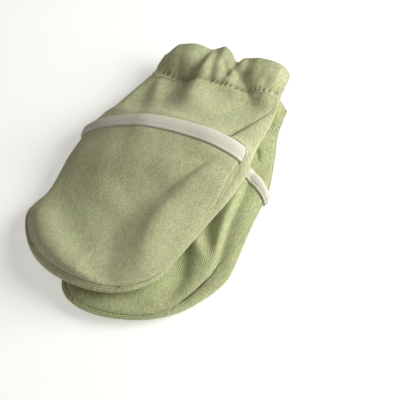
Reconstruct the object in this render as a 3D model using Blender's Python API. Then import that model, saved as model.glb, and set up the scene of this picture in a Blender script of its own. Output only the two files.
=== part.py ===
"""A pair of baby mittens with fold-over flaps, laid flat, one on the other.

Each mitten is a back panel, a shorter wrist panel, a flap that covers the fingers and a
binding round the flap's edge. The wrist is gathered on elastic and ends in a frill.
The lower mitten lies on the surface. The upper one lies across it, turned a little, and
its left side sags to the surface where nothing is under it.

A mitten's own frame has "along" from the finger end to the frill and "across" to the right
of it. Sizes are in millimetres and angles in degrees; the meshes are made in metres.
The row frame has +Z up and its origin under the middle of the pair, on the surface.
"""

import math
from collections import namedtuple

import bmesh
import bpy

METRES = 0.001
SAME_PLACE = 0.000001

# The cloth
WALL = 2.2
GAP = 0.3  # between pieces that meet or lie on each other
UNDERLAP = 20.0  # how far, at most, the wrist panel runs on under the flap
CLEAR_OF_EDGE = 1.6  # beyond the flap's edge, where the wrist panel starts to come out
EMERGE = 7.0  # over which it comes out to its full size
FLAP_STEP = 20.0  # over this the flap climbs onto the end of the wrist panel
SIDE_SOFTNESS = 2.1  # of the front, where it rounds down to the outline
FLAT_SHARE = 0.66  # of the half width, over which a back panel lies flat
TIP_TURN = 15.0  # along, over which what is inset from the outline turns to the side
LEAST_WIDTH = 0.4  # of a half width, that is left of it when it is inset
STILL_EDGE = 0.17  # of the way in from the outline, over which folds and lobes fade in
CROWDING = 0.28  # how much closer together the columns are at the sides
UNDER_LOBES = 0.4  # how much of the frill's rise its back panel follows
PUFF_SHARE = 0.62  # of the frill's length, over which its lobes swell
FRILL_FALL = 1.5  # how far the lobes round over towards the frill's edge
FALL_POWER = 3
HOLLOW = 3.8  # the most that there is between the front and the back of the upper mitten
DROOP_LENGTH = 20.0  # along, to each side of the flap's edge
DROOP_POWER = 9
LEAST_FOLD = 2.2  # the narrowest that one side of a fold is in walls this thick

# The binding's section: along is from the flap's edge, out is from the flap's face
BindingPoint = namedtuple("BindingPoint", "along_top out_top along_under out_under")
BINDING = (
    BindingPoint(-7.2, 0.9, -7.0, 0.3),
    BindingPoint(-5.4, 1.4, -4.6, 0.3),
    BindingPoint(-1.6, 1.4, -2.4, 0.3),
    BindingPoint(0.2, 1.0, -0.2, 0.3),
    BindingPoint(1.0, -0.5, 0.0, -2.1),
)
BINDING_TOP = 1.4  # its highest point over the flap's face
BINDING_SLOPE = 14.0  # what lies on the binding comes down to the flap over this

# The faces across a panel, those that a back panel adds where it wraps round each side to
# the seam, and the rows along it
COLUMNS = 20
WRAP_COLUMNS = 2
FINGER_ROWS = (0.0, 0.3, 1.6, 4.2, 8.5, 14.0, 21.0)
BODY_ROWS = 7
BOUND_ROWS = (-7.0, -4.6, -2.4, -0.5)  # from the flap's edge, under the binding
WRIST_ROWS = 5
FRILL_ROWS = 3
WRAP_SHARE = 0.93  # of a back panel's half width, that lies under the mitten

# One row for each section. along: where it is. left, right: its half widths. left_roll,
# right_roll: how far in from the outline the seams lie, the same on both sides in the first.
# skew: how far it is turned, so that its right end lies further along. bow: how far its
# middle lies ahead. belly: the outline over the underside. crown: the front over the outline.
Section = namedtuple("Section", "along left right left_roll right_roll skew bow belly crown")
# A point of a soft trough in the front, or of a ridge where its depth is less than nothing.
# left, right: its widths towards the mitten's own left and right.
Fold = namedtuple("Fold", "along across depth left right")
# A place across the frill. share: of the half width. reach: how far its edge stands out there
# beyond the sections. rise: how far it puffs up.
FrillPoint = namedtuple("FrillPoint", "share reach rise")
# elastic_bow: how much nearer to the frill the elastic lies at the sides. left_fullness,
# right_fullness: how squarely the front rounds down to each side. droop: how far the flap's
# edge hangs back at its right end.
Mitten = namedtuple(
    "Mitten",
    "name tip_x tip_y heading edge elastic elastic_bow rounding left_fullness right_fullness"
    " droop sections folds frill",
)

LOWER = Mitten(
    name="lower",
    tip_x=-11.89,
    tip_y=-76.07,
    heading=73.0,
    edge=92.0,
    elastic=128.0,
    elastic_bow=2.0,
    rounding=27.0,
    left_fullness=2.8,
    right_fullness=2.3,
    droop=4.0,
    sections=(
        Section(0, 44, 34, 1.4, 1.4, 15, 0, 5.0, 3.2),
        Section(10, 41.5, 32.5, 1.4, 6.0, 14, 0, 5.0, 3.3),
        Section(20, 39, 34.2, 1.2, 8.0, 13, 1, 5.0, 3.3),
        Section(31, 38, 35.8, 1.0, 7.4, 10.5, 3, 4.8, 3.4),
        Section(40, 38, 36.3, 1.0, 4.8, 7.5, 4, 4.7, 3.5),
        Section(60, 39, 37.2, 0.8, 1.2, 0, 6, 4.4, 3.8),
        Section(80, 39, 38.8, 0.8, 0.8, -5, 8, 4.2, 4.0),
        Section(92, 38, 40, 0.8, 0.8, -8, 8, 4.2, 4.0),
        Section(112, 33, 37.5, 0.8, 0.8, -9, 5, 3.8, 3.8),
        Section(128, 27, 35, 0.8, 0.8, -10, 0, 3.2, 3.0),
        Section(143, 29, 36, 0.8, 0.8, -10, 0, 4.0, 3.2),
    ),
    folds=(
        # The long tuck beside the flap's right seam: its ridge and the valley under it
        (
            Fold(84, 27.6, -0.6, 3.0, 1.3),
            Fold(74, 26.6, -1.2, 3.0, 1.3),
            Fold(62, 25.2, -1.6, 3.0, 1.3),
            Fold(50, 25.6, -1.4, 3.0, 1.3),
            Fold(40, 26.2, -0.8, 3.0, 1.3),
            Fold(32, 25.0, -0.1, 3.0, 1.3),
        ),
        (
            Fold(90, 30.2, 0.8, 1.1, 3.0),
            Fold(80, 29.3, 1.4, 1.1, 3.0),
            Fold(69, 28.2, 1.9, 1.1, 2.8),
            Fold(57, 27.4, 2.3, 1.1, 2.8),
            Fold(46, 28.0, 2.5, 1.1, 2.6),
            Fold(37, 28.3, 2.0, 1.1, 2.4),
            Fold(31, 27.0, 0.4, 1.1, 2.0),
        ),
        # Hollows beside the mitten on top, and the ridges between them
        (
            Fold(68, 19.0, 1.8, 4.0, 2.6),
            Fold(62, 17.0, 3.8, 4.5, 2.8),
            Fold(54, 18.4, 4.0, 4.5, 2.4),
            Fold(45, 22.4, 0.8, 2.5, 2.0),
        ),
        (
            Fold(52, 12.8, -0.3, 3.0, 2.5),
            Fold(44, 16.6, -1.1, 3.0, 2.5),
            Fold(38, 21.4, -0.8, 3.0, 2.5),
        ),
        (
            Fold(45, 9.4, 2.8, 6.0, 2.4),
            Fold(37, 12.4, 5.2, 7.0, 2.8),
            Fold(28, 14.4, 5.2, 7.5, 3.0),
            Fold(19, 13.6, 2.6, 7.0, 3.6),
            Fold(10, 9.0, 0.0, 6.0, 4.0),
        ),
    ),
    frill=(
        FrillPoint(-1.0, -3.0, 0.0),
        FrillPoint(-0.8, 1.4, 2.2),
        FrillPoint(-0.55, 2.4, 3.2),
        FrillPoint(-0.3, 1.2, 1.6),
        FrillPoint(-0.2, 0.3, 0.2),
        FrillPoint(-0.05, 2.0, 2.4),
        FrillPoint(0.12, 2.2, 2.8),
        FrillPoint(0.3, 0.2, 0.3),
        FrillPoint(0.45, 1.8, 2.4),
        FrillPoint(0.7, 2.4, 3.2),
        FrillPoint(0.88, 1.2, 1.8),
        FrillPoint(1.0, -3.0, 0.0),
    ),
)
UPPER = Mitten(
    name="upper",
    tip_x=-42.39,
    tip_y=-60.07,
    heading=57.5,
    edge=90.2,
    elastic=131.2,
    elastic_bow=4.7,
    rounding=27.0,
    left_fullness=4.8,
    right_fullness=2.2,
    droop=0.0,
    sections=(
        Section(0, 36, 36, 2.0, 2.0, 0, 0, 4.2, 3.8),
        Section(12, 37, 36, 1.3, 1.7, 1, 0, 4.2, 4.0),
        Section(28, 39.3, 36.5, 0.9, 0.9, 3, 0, 4.2, 4.2),
        Section(42, 37.5, 37.5, 0.9, 0.9, 6, 2, 4.2, 4.2),
        Section(57, 39.5, 38.6, 0.9, 1.5, 9, 3, 4.2, 4.2),
        Section(68, 41, 40.0, 0.9, 4.4, 12, 4, 4.2, 4.2),
        Section(78, 41.6, 40.1, 0.9, 5.6, 13.5, 4.4, 4.2, 4.0),
        Section(91, 42, 37.0, 0.9, 3.4, 16, 5, 4.2, 4.0),
        Section(94, 41.8, 36.0, 0.9, 13.0, 16.5, 4.8, 4.2, 4.0),
        Section(100, 40.8, 34.6, 0.9, 12.5, 17, 4.4, 4.2, 4.0),
        Section(106, 39.0, 33.8, 0.9, 9.6, 17, 3.8, 4.0, 3.8),
        Section(113, 38.4, 32.8, 0.9, 7.1, 17, 2.8, 3.6, 3.8),
        Section(119, 37.5, 31.6, 0.9, 4.2, 17, 1.8, 3.4, 3.6),
        Section(125, 37.0, 30.5, 0.9, 1.9, 17, 0.8, 3.1, 3.4),
        Section(132, 36.4, 28.8, 0.9, 0.9, 17, 0, 3.0, 3.2),
        Section(140, 35.5, 27.0, 0.9, 0.9, 17, 0, 3.4, 3.0),
        Section(147, 35.5, 25.4, 0.9, 0.9, 17, 0, 3.8, 3.0),
    ),
    folds=(
        # The valley between the first two lobes, running on over the elastic
        (
            Fold(151, -14.6, 0.1, 3.0, 1.8),
            Fold(145, -15.2, 1.2, 3.6, 1.8),
            Fold(140, -15.8, 2.3, 4.4, 1.9),
            Fold(135, -16.4, 2.9, 5.0, 2.2),
            Fold(131.4, -17.2, 3.1, 5.5, 2.5),
            Fold(124.3, -19.2, 3.1, 6.0, 3.4),
            Fold(113.2, -18.8, 2.4, 6.5, 4.4),
            Fold(106, -18.0, 1.7, 6.0, 5.0),
            Fold(97, -15.0, 0.0, 6.0, 6.0),
        ),
        # The long ridge beside it
        (
            Fold(147, -12.0, -0.3, 2.5, 3.5),
            Fold(141.7, -11.6, -1.2, 2.5, 4.5),
            Fold(136.3, -10.8, -2.3, 3.0, 6.0),
            Fold(130.6, -10.5, -3.0, 3.6, 7.0),
            Fold(123.8, -9.8, -3.3, 4.5, 8.0),
            Fold(116.7, -7.5, -2.7, 5.0, 8.0),
            Fold(110.2, -5.0, -1.6, 5.5, 8.0),
            Fold(102, -3.0, 0.0, 6.0, 8.0),
        ),
        # The hollow at the wrist's left and the ridge beside it
        (
            Fold(116, -31.5, 0.2, 3.5, 3.5),
            Fold(110.2, -30.1, 2.8, 4.0, 3.6),
            Fold(103, -27.5, 2.8, 4.5, 3.8),
            Fold(94.4, -24.9, 0.6, 5.0, 5.0),
        ),
        (
            Fold(124, -29.5, -0.4, 3.0, 3.0),
            Fold(116, -26.3, -1.1, 3.5, 3.5),
            Fold(106.3, -22.2, -0.9, 4.0, 4.0),
            Fold(97, -19.0, 0.0, 4.0, 4.0),
        ),
        # The valley between the last two lobes, down to the dimple on the elastic
        (
            Fold(149, -0.2, 0.9, 1.6, 1.8),
            Fold(145.1, 0.8, 2.0, 1.6, 2.0),
            Fold(142.0, 1.7, 2.4, 1.7, 2.2),
            Fold(140.8, 4.6, 2.2, 1.8, 2.2),
            Fold(139.6, 8.6, 2.2, 2.0, 2.2),
            Fold(137.6, 11.6, 2.8, 2.2, 2.4),
            Fold(135.4, 13.9, 3.8, 2.2, 2.4),
            Fold(133.6, 15.8, 3.4, 2.4, 2.6),
            Fold(131.5, 18.6, 1.0, 3.2, 3.0),
            Fold(129, 22.0, 0.0, 3.0, 3.0),
        ),
        # The hollow above the lap, and the lap where the back comes over the wrist
        (
            Fold(110, 6.0, 0.0, 5.0, 6.0),
            Fold(116, 10.0, 1.6, 5.0, 7.0),
            Fold(122, 13.5, 2.8, 5.0, 8.0),
            Fold(127, 17.0, 2.8, 4.5, 7.0),
            Fold(131, 21.0, 1.8, 4.0, 5.0),
            Fold(135, 25.8, 0.4, 3.0, 3.0),
        ),
        (
            Fold(101, 21.0, 0.0, 3.0, 0.9),
            Fold(105, 21.2, 2.2, 4.5, 0.9),
            Fold(109, 21.5, 2.6, 5.5, 1.1),
            Fold(115.2, 23.0, 2.4, 6.0, 1.8),
            Fold(120.9, 24.5, 1.5, 5.5, 2.6),
            Fold(126.5, 26.6, 0.6, 4.0, 3.0),
            Fold(131.8, 28.4, 0.0, 3.0, 2.5),
        ),
        # The flap's long trough
        (
            Fold(88, 24.0, 0.0, 1.6, 1.2),
            Fold(82, 21.6, 1.2, 2.6, 1.5),
            Fold(74, 18.2, 1.7, 3.2, 1.9),
            Fold(65, 14.4, 2.0, 5.0, 2.8),
            Fold(57, 10.0, 2.7, 10.0, 5.0),
            Fold(48, 6.5, 3.6, 13.0, 7.0),
            Fold(38, 4.5, 4.2, 15.0, 9.0),
            Fold(29, 7.0, 4.0, 13.0, 9.5),
            Fold(20, 12.0, 3.0, 10.0, 8.5),
            Fold(10, 17.0, 1.2, 8.0, 7.0),
            Fold(3, 20.0, 0.0, 7.0, 6.0),
        ),
        # The crest that stands over it
        (
            Fold(72, 22.0, 0.0, 3.0, 5.0),
            Fold(64, 21.0, -0.6, 3.0, 6.0),
            Fold(57, 19.6, -1.1, 3.5, 7.0),
            Fold(49, 18.5, -1.5, 4.5, 8.0),
            Fold(41, 19.0, -1.8, 5.0, 8.5),
            Fold(33, 21.6, -1.7, 5.0, 7.5),
            Fold(25, 25.0, -1.0, 5.0, 6.0),
            Fold(17, 27.5, 0.0, 4.5, 4.5),
        ),
        # The swell beside it, over the finger end's left corner
        (
            Fold(36, -34.0, 0.0, 5.0, 6.0),
            Fold(27, -32.5, -1.2, 6.0, 8.0),
            Fold(18, -28.0, -3.4, 6.0, 9.5),
            Fold(9, -20.0, -4.6, 6.0, 9.5),
            Fold(4, -8.0, -4.2, 6.0, 9.5),
            Fold(3, 3.0, -2.8, 5.0, 8.5),
            Fold(3, 13.0, -1.2, 5.0, 7.0),
            Fold(2, 22.0, 0.0, 4.0, 4.0),
        ),
        # The shallow one behind the swell
        (
            Fold(46, -38.0, 0.3, 6.0, 8.0),
            Fold(39, -28.7, 1.0, 10.0, 12.0),
            Fold(32, -19.3, 2.1, 11.0, 15.0),
            Fold(25, -10.0, 2.8, 9.0, 16.0),
            Fold(18, -0.7, 1.9, 8.0, 13.0),
            Fold(11, 8.7, 0.0, 7.0, 9.0),
        ),
    ),
    frill=(
        FrillPoint(-1.0, -1.0, 0.0),
        FrillPoint(-0.93, 3.4, 4.0),
        FrillPoint(-0.845, 4.2, 4.8),
        FrillPoint(-0.70, 4.2, 5.0),
        FrillPoint(-0.59, 4.5, 4.8),
        FrillPoint(-0.47, 4.6, 4.0),
        FrillPoint(-0.405, 5.2, 3.2),
        FrillPoint(-0.355, 7.0, 3.7),
        FrillPoint(-0.28, 7.2, 4.2),
        FrillPoint(-0.19, 6.0, 3.8),
        FrillPoint(-0.10, 3.9, 2.6),
        FrillPoint(-0.006, 1.6, 1.2),
        FrillPoint(0.05, 3.8, 2.8),
        FrillPoint(0.154, 5.1, 3.8),
        FrillPoint(0.45, 4.6, 4.2),
        FrillPoint(0.73, 4.3, 3.8),
        FrillPoint(0.87, 4.4, 3.2),
        FrillPoint(0.95, 3.8, 2.2),
        FrillPoint(1.0, 2.0, 0.0),
    ),
)

# What the upper mitten lies on
SHOULDER = 12.0  # inside the lower mitten's outline, where the upper one starts to sag
SAG_REACH = 40.0  # over which it sags to the surface
SAG_CLEAR = 1.0  # left between the sagging side and the surface
CARRIED_CLEAR = 0.8  # left between the lower mitten and what it carries
BRIDGED = 0.8  # share across the lower mitten, up to which its front carries the upper one


def smooth_step(share):
    """0 to 1, level at both ends."""
    share = min(1.0, max(0.0, share))
    return share * share * (3.0 - 2.0 * share)


def rounded(share):
    """A quarter of a circle: it leaves 0 upright and reaches 1 level."""
    share = min(1.0, max(0.0, share))
    return math.sqrt(1.0 - (1.0 - share) ** 2)


def slopes(places, values):
    """Slopes for a curve through the values that never overshoots them."""
    steps = [(values[i + 1] - values[i]) / (places[i + 1] - places[i]) for i in range(len(values) - 1)]
    inner = [2 * a * b / (a + b) if a * b > 0 else 0.0 for a, b in zip(steps, steps[1:])]
    return [steps[0], *inner, steps[-1]]


def curve_through(places, values, wanted):
    """A smooth curve through the values at their places."""
    wanted = min(places[-1], max(places[0], wanted))
    i = max(k for k in range(len(places) - 1) if places[k] <= wanted)
    span = places[i + 1] - places[i]
    s = (wanted - places[i]) / span
    slope = slopes(places, values)
    return (
        (1 + 2 * s) * (1 - s) ** 2 * values[i]
        + s * s * (3 - 2 * s) * values[i + 1]
        + s * (1 - s) ** 2 * span * slope[i]
        - s * s * (1 - s) * span * slope[i + 1]
    )


def section_at(mitten, column, along):
    """One column of a mitten's sections."""
    places = [row.along for row in mitten.sections]
    return curve_through(places, [getattr(row, column) for row in mitten.sections], along)


def length_of(mitten):
    return mitten.sections[-1].along


def full_half(mitten, along, side):
    """From the middle to the outline, as if the finger end were square."""
    return section_at(mitten, "left" if side < 0 else "right", along)


def half_width(mitten, along, side):
    """From the middle to the outline, rounded off at the finger end."""
    return full_half(mitten, along, side) * rounded(along / mitten.rounding)


def outwardness(mitten, along, across, inset):
    """1 on the outline and 0 well inside it."""
    full = full_half(mitten, along, across) - inset
    short_of = max(0.0, 1.0 - (along - inset) / (mitten.rounding - inset))
    return min(1.0, math.hypot(short_of, across / full))


def seam_inset(mitten, along, side):
    return section_at(mitten, "left_roll" if side < 0 else "right_roll", along)


def own_place(mitten, along, across, share):
    """A place in the mitten's own frame, where its sections are turned and bowed."""
    skew = math.tan(math.radians(section_at(mitten, "skew", along)))
    bow = section_at(mitten, "bow", along) * (1.0 - share * share)
    near_edge = math.exp(-(((along - mitten.edge) / DROOP_LENGTH) ** 2))
    droop = mitten.droop * near_edge * max(0.0, share) ** DROOP_POWER
    return along + skew * across + bow - droop + frill_reach(mitten, along, share), across


def to_row(mitten, along, across):
    """(x, y) in the row frame of a place in the mitten's own frame."""
    turn = math.radians(mitten.heading)
    x = mitten.tip_x + along * math.cos(turn) + across * math.sin(turn)
    y = mitten.tip_y + along * math.sin(turn) - across * math.cos(turn)
    return x, y


def from_row(mitten, x, y):
    """(along, across) in the mitten's own frame, without its skew."""
    turn = math.radians(mitten.heading)
    x, y = x - mitten.tip_x, y - mitten.tip_y
    along = x * math.cos(turn) + y * math.sin(turn)
    across = x * math.sin(turn) - y * math.cos(turn)
    skew = math.tan(math.radians(section_at(mitten, "skew", along)))
    return along - skew * across, across


def carried_height(x, y):
    """The height that the upper mitten needs over the lower one's front and binding."""
    along, across = from_row(LOWER, x, y)
    half = full_half(LOWER, along, across)
    share = min(BRIDGED, max(-BRIDGED, across / half))
    along -= section_at(LOWER, "bow", along) * (1.0 - share * share)
    height = front_height(LOWER, max(along, LOWER.rounding), share * half, 0.0)
    nearest = min(LOWER.edge, max(LOWER.edge + BINDING[0].along_top, along))
    near = 1.0 - smooth_step(abs(along - nearest) / BINDING_SLOPE)
    return height + BINDING_TOP * near + CARRIED_CLEAR


def bed(mitten, x, y):
    """The height of what the mitten lies on."""
    if mitten is LOWER:
        return 0.0
    along, across = from_row(LOWER, x, y)
    beyond = abs(across) - full_half(LOWER, along, across) + SHOULDER
    past = math.hypot(max(0.0, beyond), max(0.0, SHOULDER - along))
    top = carried_height(x, y)
    return top + (SAG_CLEAR - top) * smooth_step(past / SAG_REACH)


def fold_drop(mitten, along, across):
    """How far the folds lower the front at a place in the mitten's own frame."""
    drop = 0.0
    for fold in mitten.folds:
        nearest = None
        for start, end in zip(fold, fold[1:]):
            run = end.along - start.along, end.across - start.across
            off = along - start.along, across - start.across
            long = math.hypot(*run)
            share = min(1.0, max(0.0, (off[0] * run[0] + off[1] * run[1]) / long**2))
            away = math.hypot(off[0] - share * run[0], off[1] - share * run[1])
            if nearest is None or away < nearest[0]:
                forwards = math.copysign(1.0, run[0])
                side = "right" if forwards * (off[1] * run[0] - off[0] * run[1]) > 0.0 else "left"
                width = (1 - share) * getattr(start, side) + share * getattr(end, side)
                width = max(LEAST_FOLD, width)
                nearest = away, (1 - share) * start.depth + share * end.depth, width
        drop += nearest[1] * math.exp(-((nearest[0] / nearest[2]) ** 2))
    return drop


def past_elastic(mitten, along, share):
    """0 at the elastic, and 1 at the frill's edge."""
    elastic = mitten.elastic + mitten.elastic_bow * share * share
    return min(1.0, max(0.0, (along - elastic) / (length_of(mitten) - elastic)))


def frilled(mitten, share, column):
    """One column of a mitten's frill."""
    shares = [point.share for point in mitten.frill]
    return curve_through(shares, [getattr(point, column) for point in mitten.frill], share)


def frill_reach(mitten, along, share):
    """How far the frill stands out beyond the sections."""
    return smooth_step(past_elastic(mitten, along, share)) * frilled(mitten, share, "reach")


def frill_rise(mitten, along, share):
    """How far the frill's lobes puff up between the elastic and their edge."""
    past = past_elastic(mitten, along, share)
    return smooth_step(past / PUFF_SHARE) * frilled(mitten, share, "rise") - FRILL_FALL * past**FALL_POWER


def under_rise(mitten, along, share):
    """How far a back panel follows the frill's lobes up."""
    return UNDER_LOBES * smooth_step(past_elastic(mitten, along, share)) * frilled(mitten, share, "rise")


def under_flap(mitten, along):
    """1 where the flap covers the wrist panel, 0 where the wrist panel is out from under it."""
    return 1.0 - smooth_step((along - mitten.edge - CLEAR_OF_EDGE) / EMERGE)


def flap_lift(mitten, along):
    """How far the flap stands up because the wrist panel runs on under it."""
    climb = smooth_step((along - mitten.edge + UNDERLAP + FLAP_STEP) / FLAP_STEP)
    return (WALL + GAP) * climb * under_flap(mitten, along)


def side_fall(mitten, outward, share):
    """1 in the middle, falling upright to 0 at the outline."""
    to_right = smooth_step((1.0 + share) / 2.0)
    fullness = (1.0 - to_right) * mitten.left_fullness + to_right * mitten.right_fullness
    return (1.0 - min(1.0, outward) ** fullness) ** (1.0 / SIDE_SOFTNESS)


def stillness(share):
    """0 at the outline, where the front and the underside must meet, and 1 a little way in."""
    return smooth_step((1.0 - abs(share)) / STILL_EDGE)


def front_height(mitten, along, across, inset):
    """The front's height over the bed, without its folds and seams."""
    outward = outwardness(mitten, along, across, inset)
    share = across / full_half(mitten, along, across)
    crown = section_at(mitten, "crown", along) + flap_lift(mitten, along) - inset
    rise = stillness(outward) * frill_rise(mitten, along, share)
    return section_at(mitten, "belly", along) + crown * side_fall(mitten, outward, share) + rise


def soft_limit(drop, room):
    """A drop that eases off before it uses up the room for it. A rise is left as it is."""
    if drop <= 0.0:
        return drop
    return room * (1.0 - math.exp(-drop / room)) if room > 0.0 else 0.0


def under_ridges(mitten, along, across):
    """How far the upper mitten's back panel follows its ridges up, so that its hollow stays low."""
    if mitten is LOWER:
        return 0.0
    share = across / full_half(mitten, along, across)
    height = front_height(mitten, along, across, 0.0)
    height -= fold_drop(mitten, *own_place(mitten, along, across, share))
    layers = 2 * WALL + flap_lift(mitten, along) + under_rise(mitten, along, share)
    return max(0.0, height - layers - HOLLOW)


def inset_place(mitten, along, side, inset):
    """(along, across) at a distance in from the outline. It is measured along the mitten at the
    finger end, and across it further up."""
    turned = rounded(along / TIP_TURN)
    half = half_width(mitten, along, side)
    return along + inset * (1.0 - turned), side * max(half - inset, LEAST_WIDTH * half * turned)


def top_point(mitten, along, across, inset):
    """A point of the upper side, inset under the cloth's outer face."""
    share = across / full_half(mitten, along, across)
    own_along, own_across = own_place(mitten, along, across, share)
    x, y = to_row(mitten, own_along, own_across)
    height = front_height(mitten, along, across, inset)
    layers = 2 * WALL + 2 * GAP + flap_lift(mitten, along) + under_rise(mitten, along, share)
    room = front_height(mitten, along, across, 0.0) - layers
    drop = soft_limit(fold_drop(mitten, own_along, own_across), room)
    still = stillness(outwardness(mitten, along, across, inset))
    return x, y, bed(mitten, x, y) + height - still * drop


def front(mitten, along, share, inset):
    """A point of the front between its seams, where share is -1 and 1."""
    side = -1 if share < 0 else 1
    seam = seam_inset(mitten, along, side) + GAP / 2 + inset
    other = seam_inset(mitten, along, -side) + GAP / 2 + inset
    seam_along, seam_across = inset_place(mitten, along, side, seam)
    other_along = inset_place(mitten, along, -side, other)[0]
    far = 0.5 * (1.0 - abs(share))
    return top_point(mitten, (1.0 - far) * seam_along + far * other_along, abs(share) * seam_across, inset)


def back(mitten, along, share, inset):
    """A point of the back panel. Beyond WRAP_SHARE it has come round the outline to the top."""
    side = -1 if share < 0 else 1
    if abs(share) > WRAP_SHARE:
        wrapped = (abs(share) - WRAP_SHARE) / (1.0 - WRAP_SHARE)
        from_outline = wrapped * (seam_inset(mitten, along, side) - GAP / 2) + inset
        wrap_along, across = inset_place(mitten, along, side, from_outline)
        return top_point(mitten, wrap_along, across, inset)
    share /= WRAP_SHARE
    edge_along, edge_across = inset_place(mitten, along, side, inset)
    across = abs(share) * edge_across
    own_along, own_across = own_place(mitten, edge_along, across, share)
    x, y = to_row(mitten, own_along, own_across)
    outward = outwardness(mitten, edge_along, across, inset)
    belly = section_at(mitten, "belly", along)
    height = belly - (belly - inset) * rounded((1.0 - outward) / (1.0 - FLAT_SHARE))
    rise = under_rise(mitten, along, share) + under_ridges(mitten, edge_along, across)
    return x, y, bed(mitten, x, y) + height + stillness(outward) * rise


def spaced(start, end, count):
    """The places after start, evenly spaced, up to end."""
    return [start + (end - start) * (k + 1) / count for k in range(count)]


def seam_rows(mitten):
    """The rows that every panel shares, as (those to the flap's edge, those beyond it)."""
    bound = [mitten.edge + row for row in BOUND_ROWS]
    finger = [*FINGER_ROWS, *spaced(FINGER_ROWS[-1], bound[0], BODY_ROWS), *bound[1:]]
    wrist = spaced(finger[-1], mitten.elastic, WRIST_ROWS)
    return finger, wrist + spaced(mitten.elastic, length_of(mitten), FRILL_ROWS)


def share_at(place):
    """From 0 to 1 across a panel, to -1 to 1 with its columns closer together near the sides."""
    even = 2.0 * place - 1.0
    return even * (1.0 + CROWDING - CROWDING * even * even)


def slab_object(name, colour, rows, columns, point_of):
    """A closed solid: a grid of columns by rows, given a second side, whose every point is
    point_of(row, share across, 0 outside or 1 inside). A row at the finger end, where along
    is 0, is drawn together to a point and has no rim."""
    mesh = bpy.data.meshes.new(name)
    solid = bmesh.new()
    bmesh.ops.create_grid(solid, x_segments=columns, y_segments=len(rows) - 1, size=1.0)
    made = bmesh.ops.extrude_face_region(solid, geom=list(solid.faces))
    inside = {v for v in made["geom"] if isinstance(v, bmesh.types.BMVert)}
    if rows[0] == 0.0:
        closed_end = [face for face in solid.faces if all(v.co.y < -0.999 for v in face.verts)]
        bmesh.ops.delete(solid, geom=closed_end, context="FACES")
    for vertex in solid.verts:
        row = round((vertex.co.y + 1.0) / 2.0 * (len(rows) - 1))
        share = share_at((vertex.co.x + 1.0) / 2.0)
        place = point_of(rows[row], share, 1 if vertex in inside else 0)
        vertex.co = [METRES * value for value in place]
    bmesh.ops.remove_doubles(solid, verts=solid.verts, dist=SAME_PLACE)
    bmesh.ops.recalc_face_normals(solid, faces=solid.faces)
    bmesh.ops.triangulate(solid, faces=solid.faces)
    solid.to_mesh(mesh)
    solid.free()
    mesh.shade_smooth()
    mesh.set_sharp_from_angle(angle=math.radians(50))
    mesh.materials.append(colour)
    made = bpy.data.objects.new(name, mesh)
    bpy.context.scene.collection.objects.link(made)
    return made


def cloth_material(name, colour, roughness):
    material = bpy.data.materials.new(name)
    material.use_nodes = True
    shader = material.node_tree.nodes["Principled BSDF"]
    shader.inputs["Base Color"].default_value = (*colour, 1.0)
    shader.inputs["Roughness"].default_value = roughness
    shader.inputs["Metallic"].default_value = 0.0
    return material


def make_back(mitten, colour):
    """The whole back of the mitten, from the finger end to the frill's edge."""
    finger, wrist = seam_rows(mitten)
    slab_object(
        mitten.name + "_back",
        colour,
        finger + wrist,
        COLUMNS + 2 * WRAP_COLUMNS,
        lambda row, share, inside: back(mitten, row, share, WALL * inside),
    )


def make_wrist(mitten, colour):
    """The front of the wrist, from under the flap to the frill's edge."""
    finger, wrist = seam_rows(mitten)
    rows = [row for row in finger + wrist if row > mitten.edge - UNDERLAP]

    def point_of(row, share, inside):
        return front(mitten, row, share, WALL * inside + (WALL + GAP) * under_flap(mitten, row))

    slab_object(mitten.name + "_wrist", colour, rows, COLUMNS, point_of)


def make_flap(mitten, colour):
    """The flap over the fingers, from the finger end to its bound edge."""
    slab_object(
        mitten.name + "_flap",
        colour,
        seam_rows(mitten)[0],
        COLUMNS,
        lambda row, share, inside: front(mitten, row, share, WALL * inside),
    )


def make_binding(mitten, colour):
    """The strip that is folded over the flap's edge."""

    def point_of(row, share, inside):
        if inside:
            return front(mitten, mitten.edge + row.along_under, share, -row.out_under)
        return front(mitten, mitten.edge + row.along_top, share, -row.out_top)

    slab_object(mitten.name + "_binding", colour, list(BINDING), COLUMNS, point_of)


def clear_scene():
    for old in list(bpy.data.objects):
        bpy.data.objects.remove(old)


def main():
    clear_scene()
    green = cloth_material("sage_knit", (0.56, 0.60, 0.36), 0.92)
    cream = cloth_material("cream_binding", (0.80, 0.77, 0.68), 0.9)
    for mitten in (LOWER, UPPER):
        make_back(mitten, green)
        make_wrist(mitten, green)
        make_flap(mitten, green)
        make_binding(mitten, cream)


main()
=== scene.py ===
"""Looks for a pair of baby mittens with bound fold-over flaps, laid one on the other.

Every cloth is a thin shell on the form of its solid, with the finer folds, the gathers on the
elastic, the rolled seams and the turned hem of the frill. Sizes in the tables are in millimetres
and angles in degrees; the meshes are made in metres. A mitten's own frame has "along" from the
finger end to the frill and "across" to the right of it.
"""

import math
from collections import namedtuple

import bmesh
import bpy
import numpy as np
from mathutils import Matrix, Vector


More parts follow.
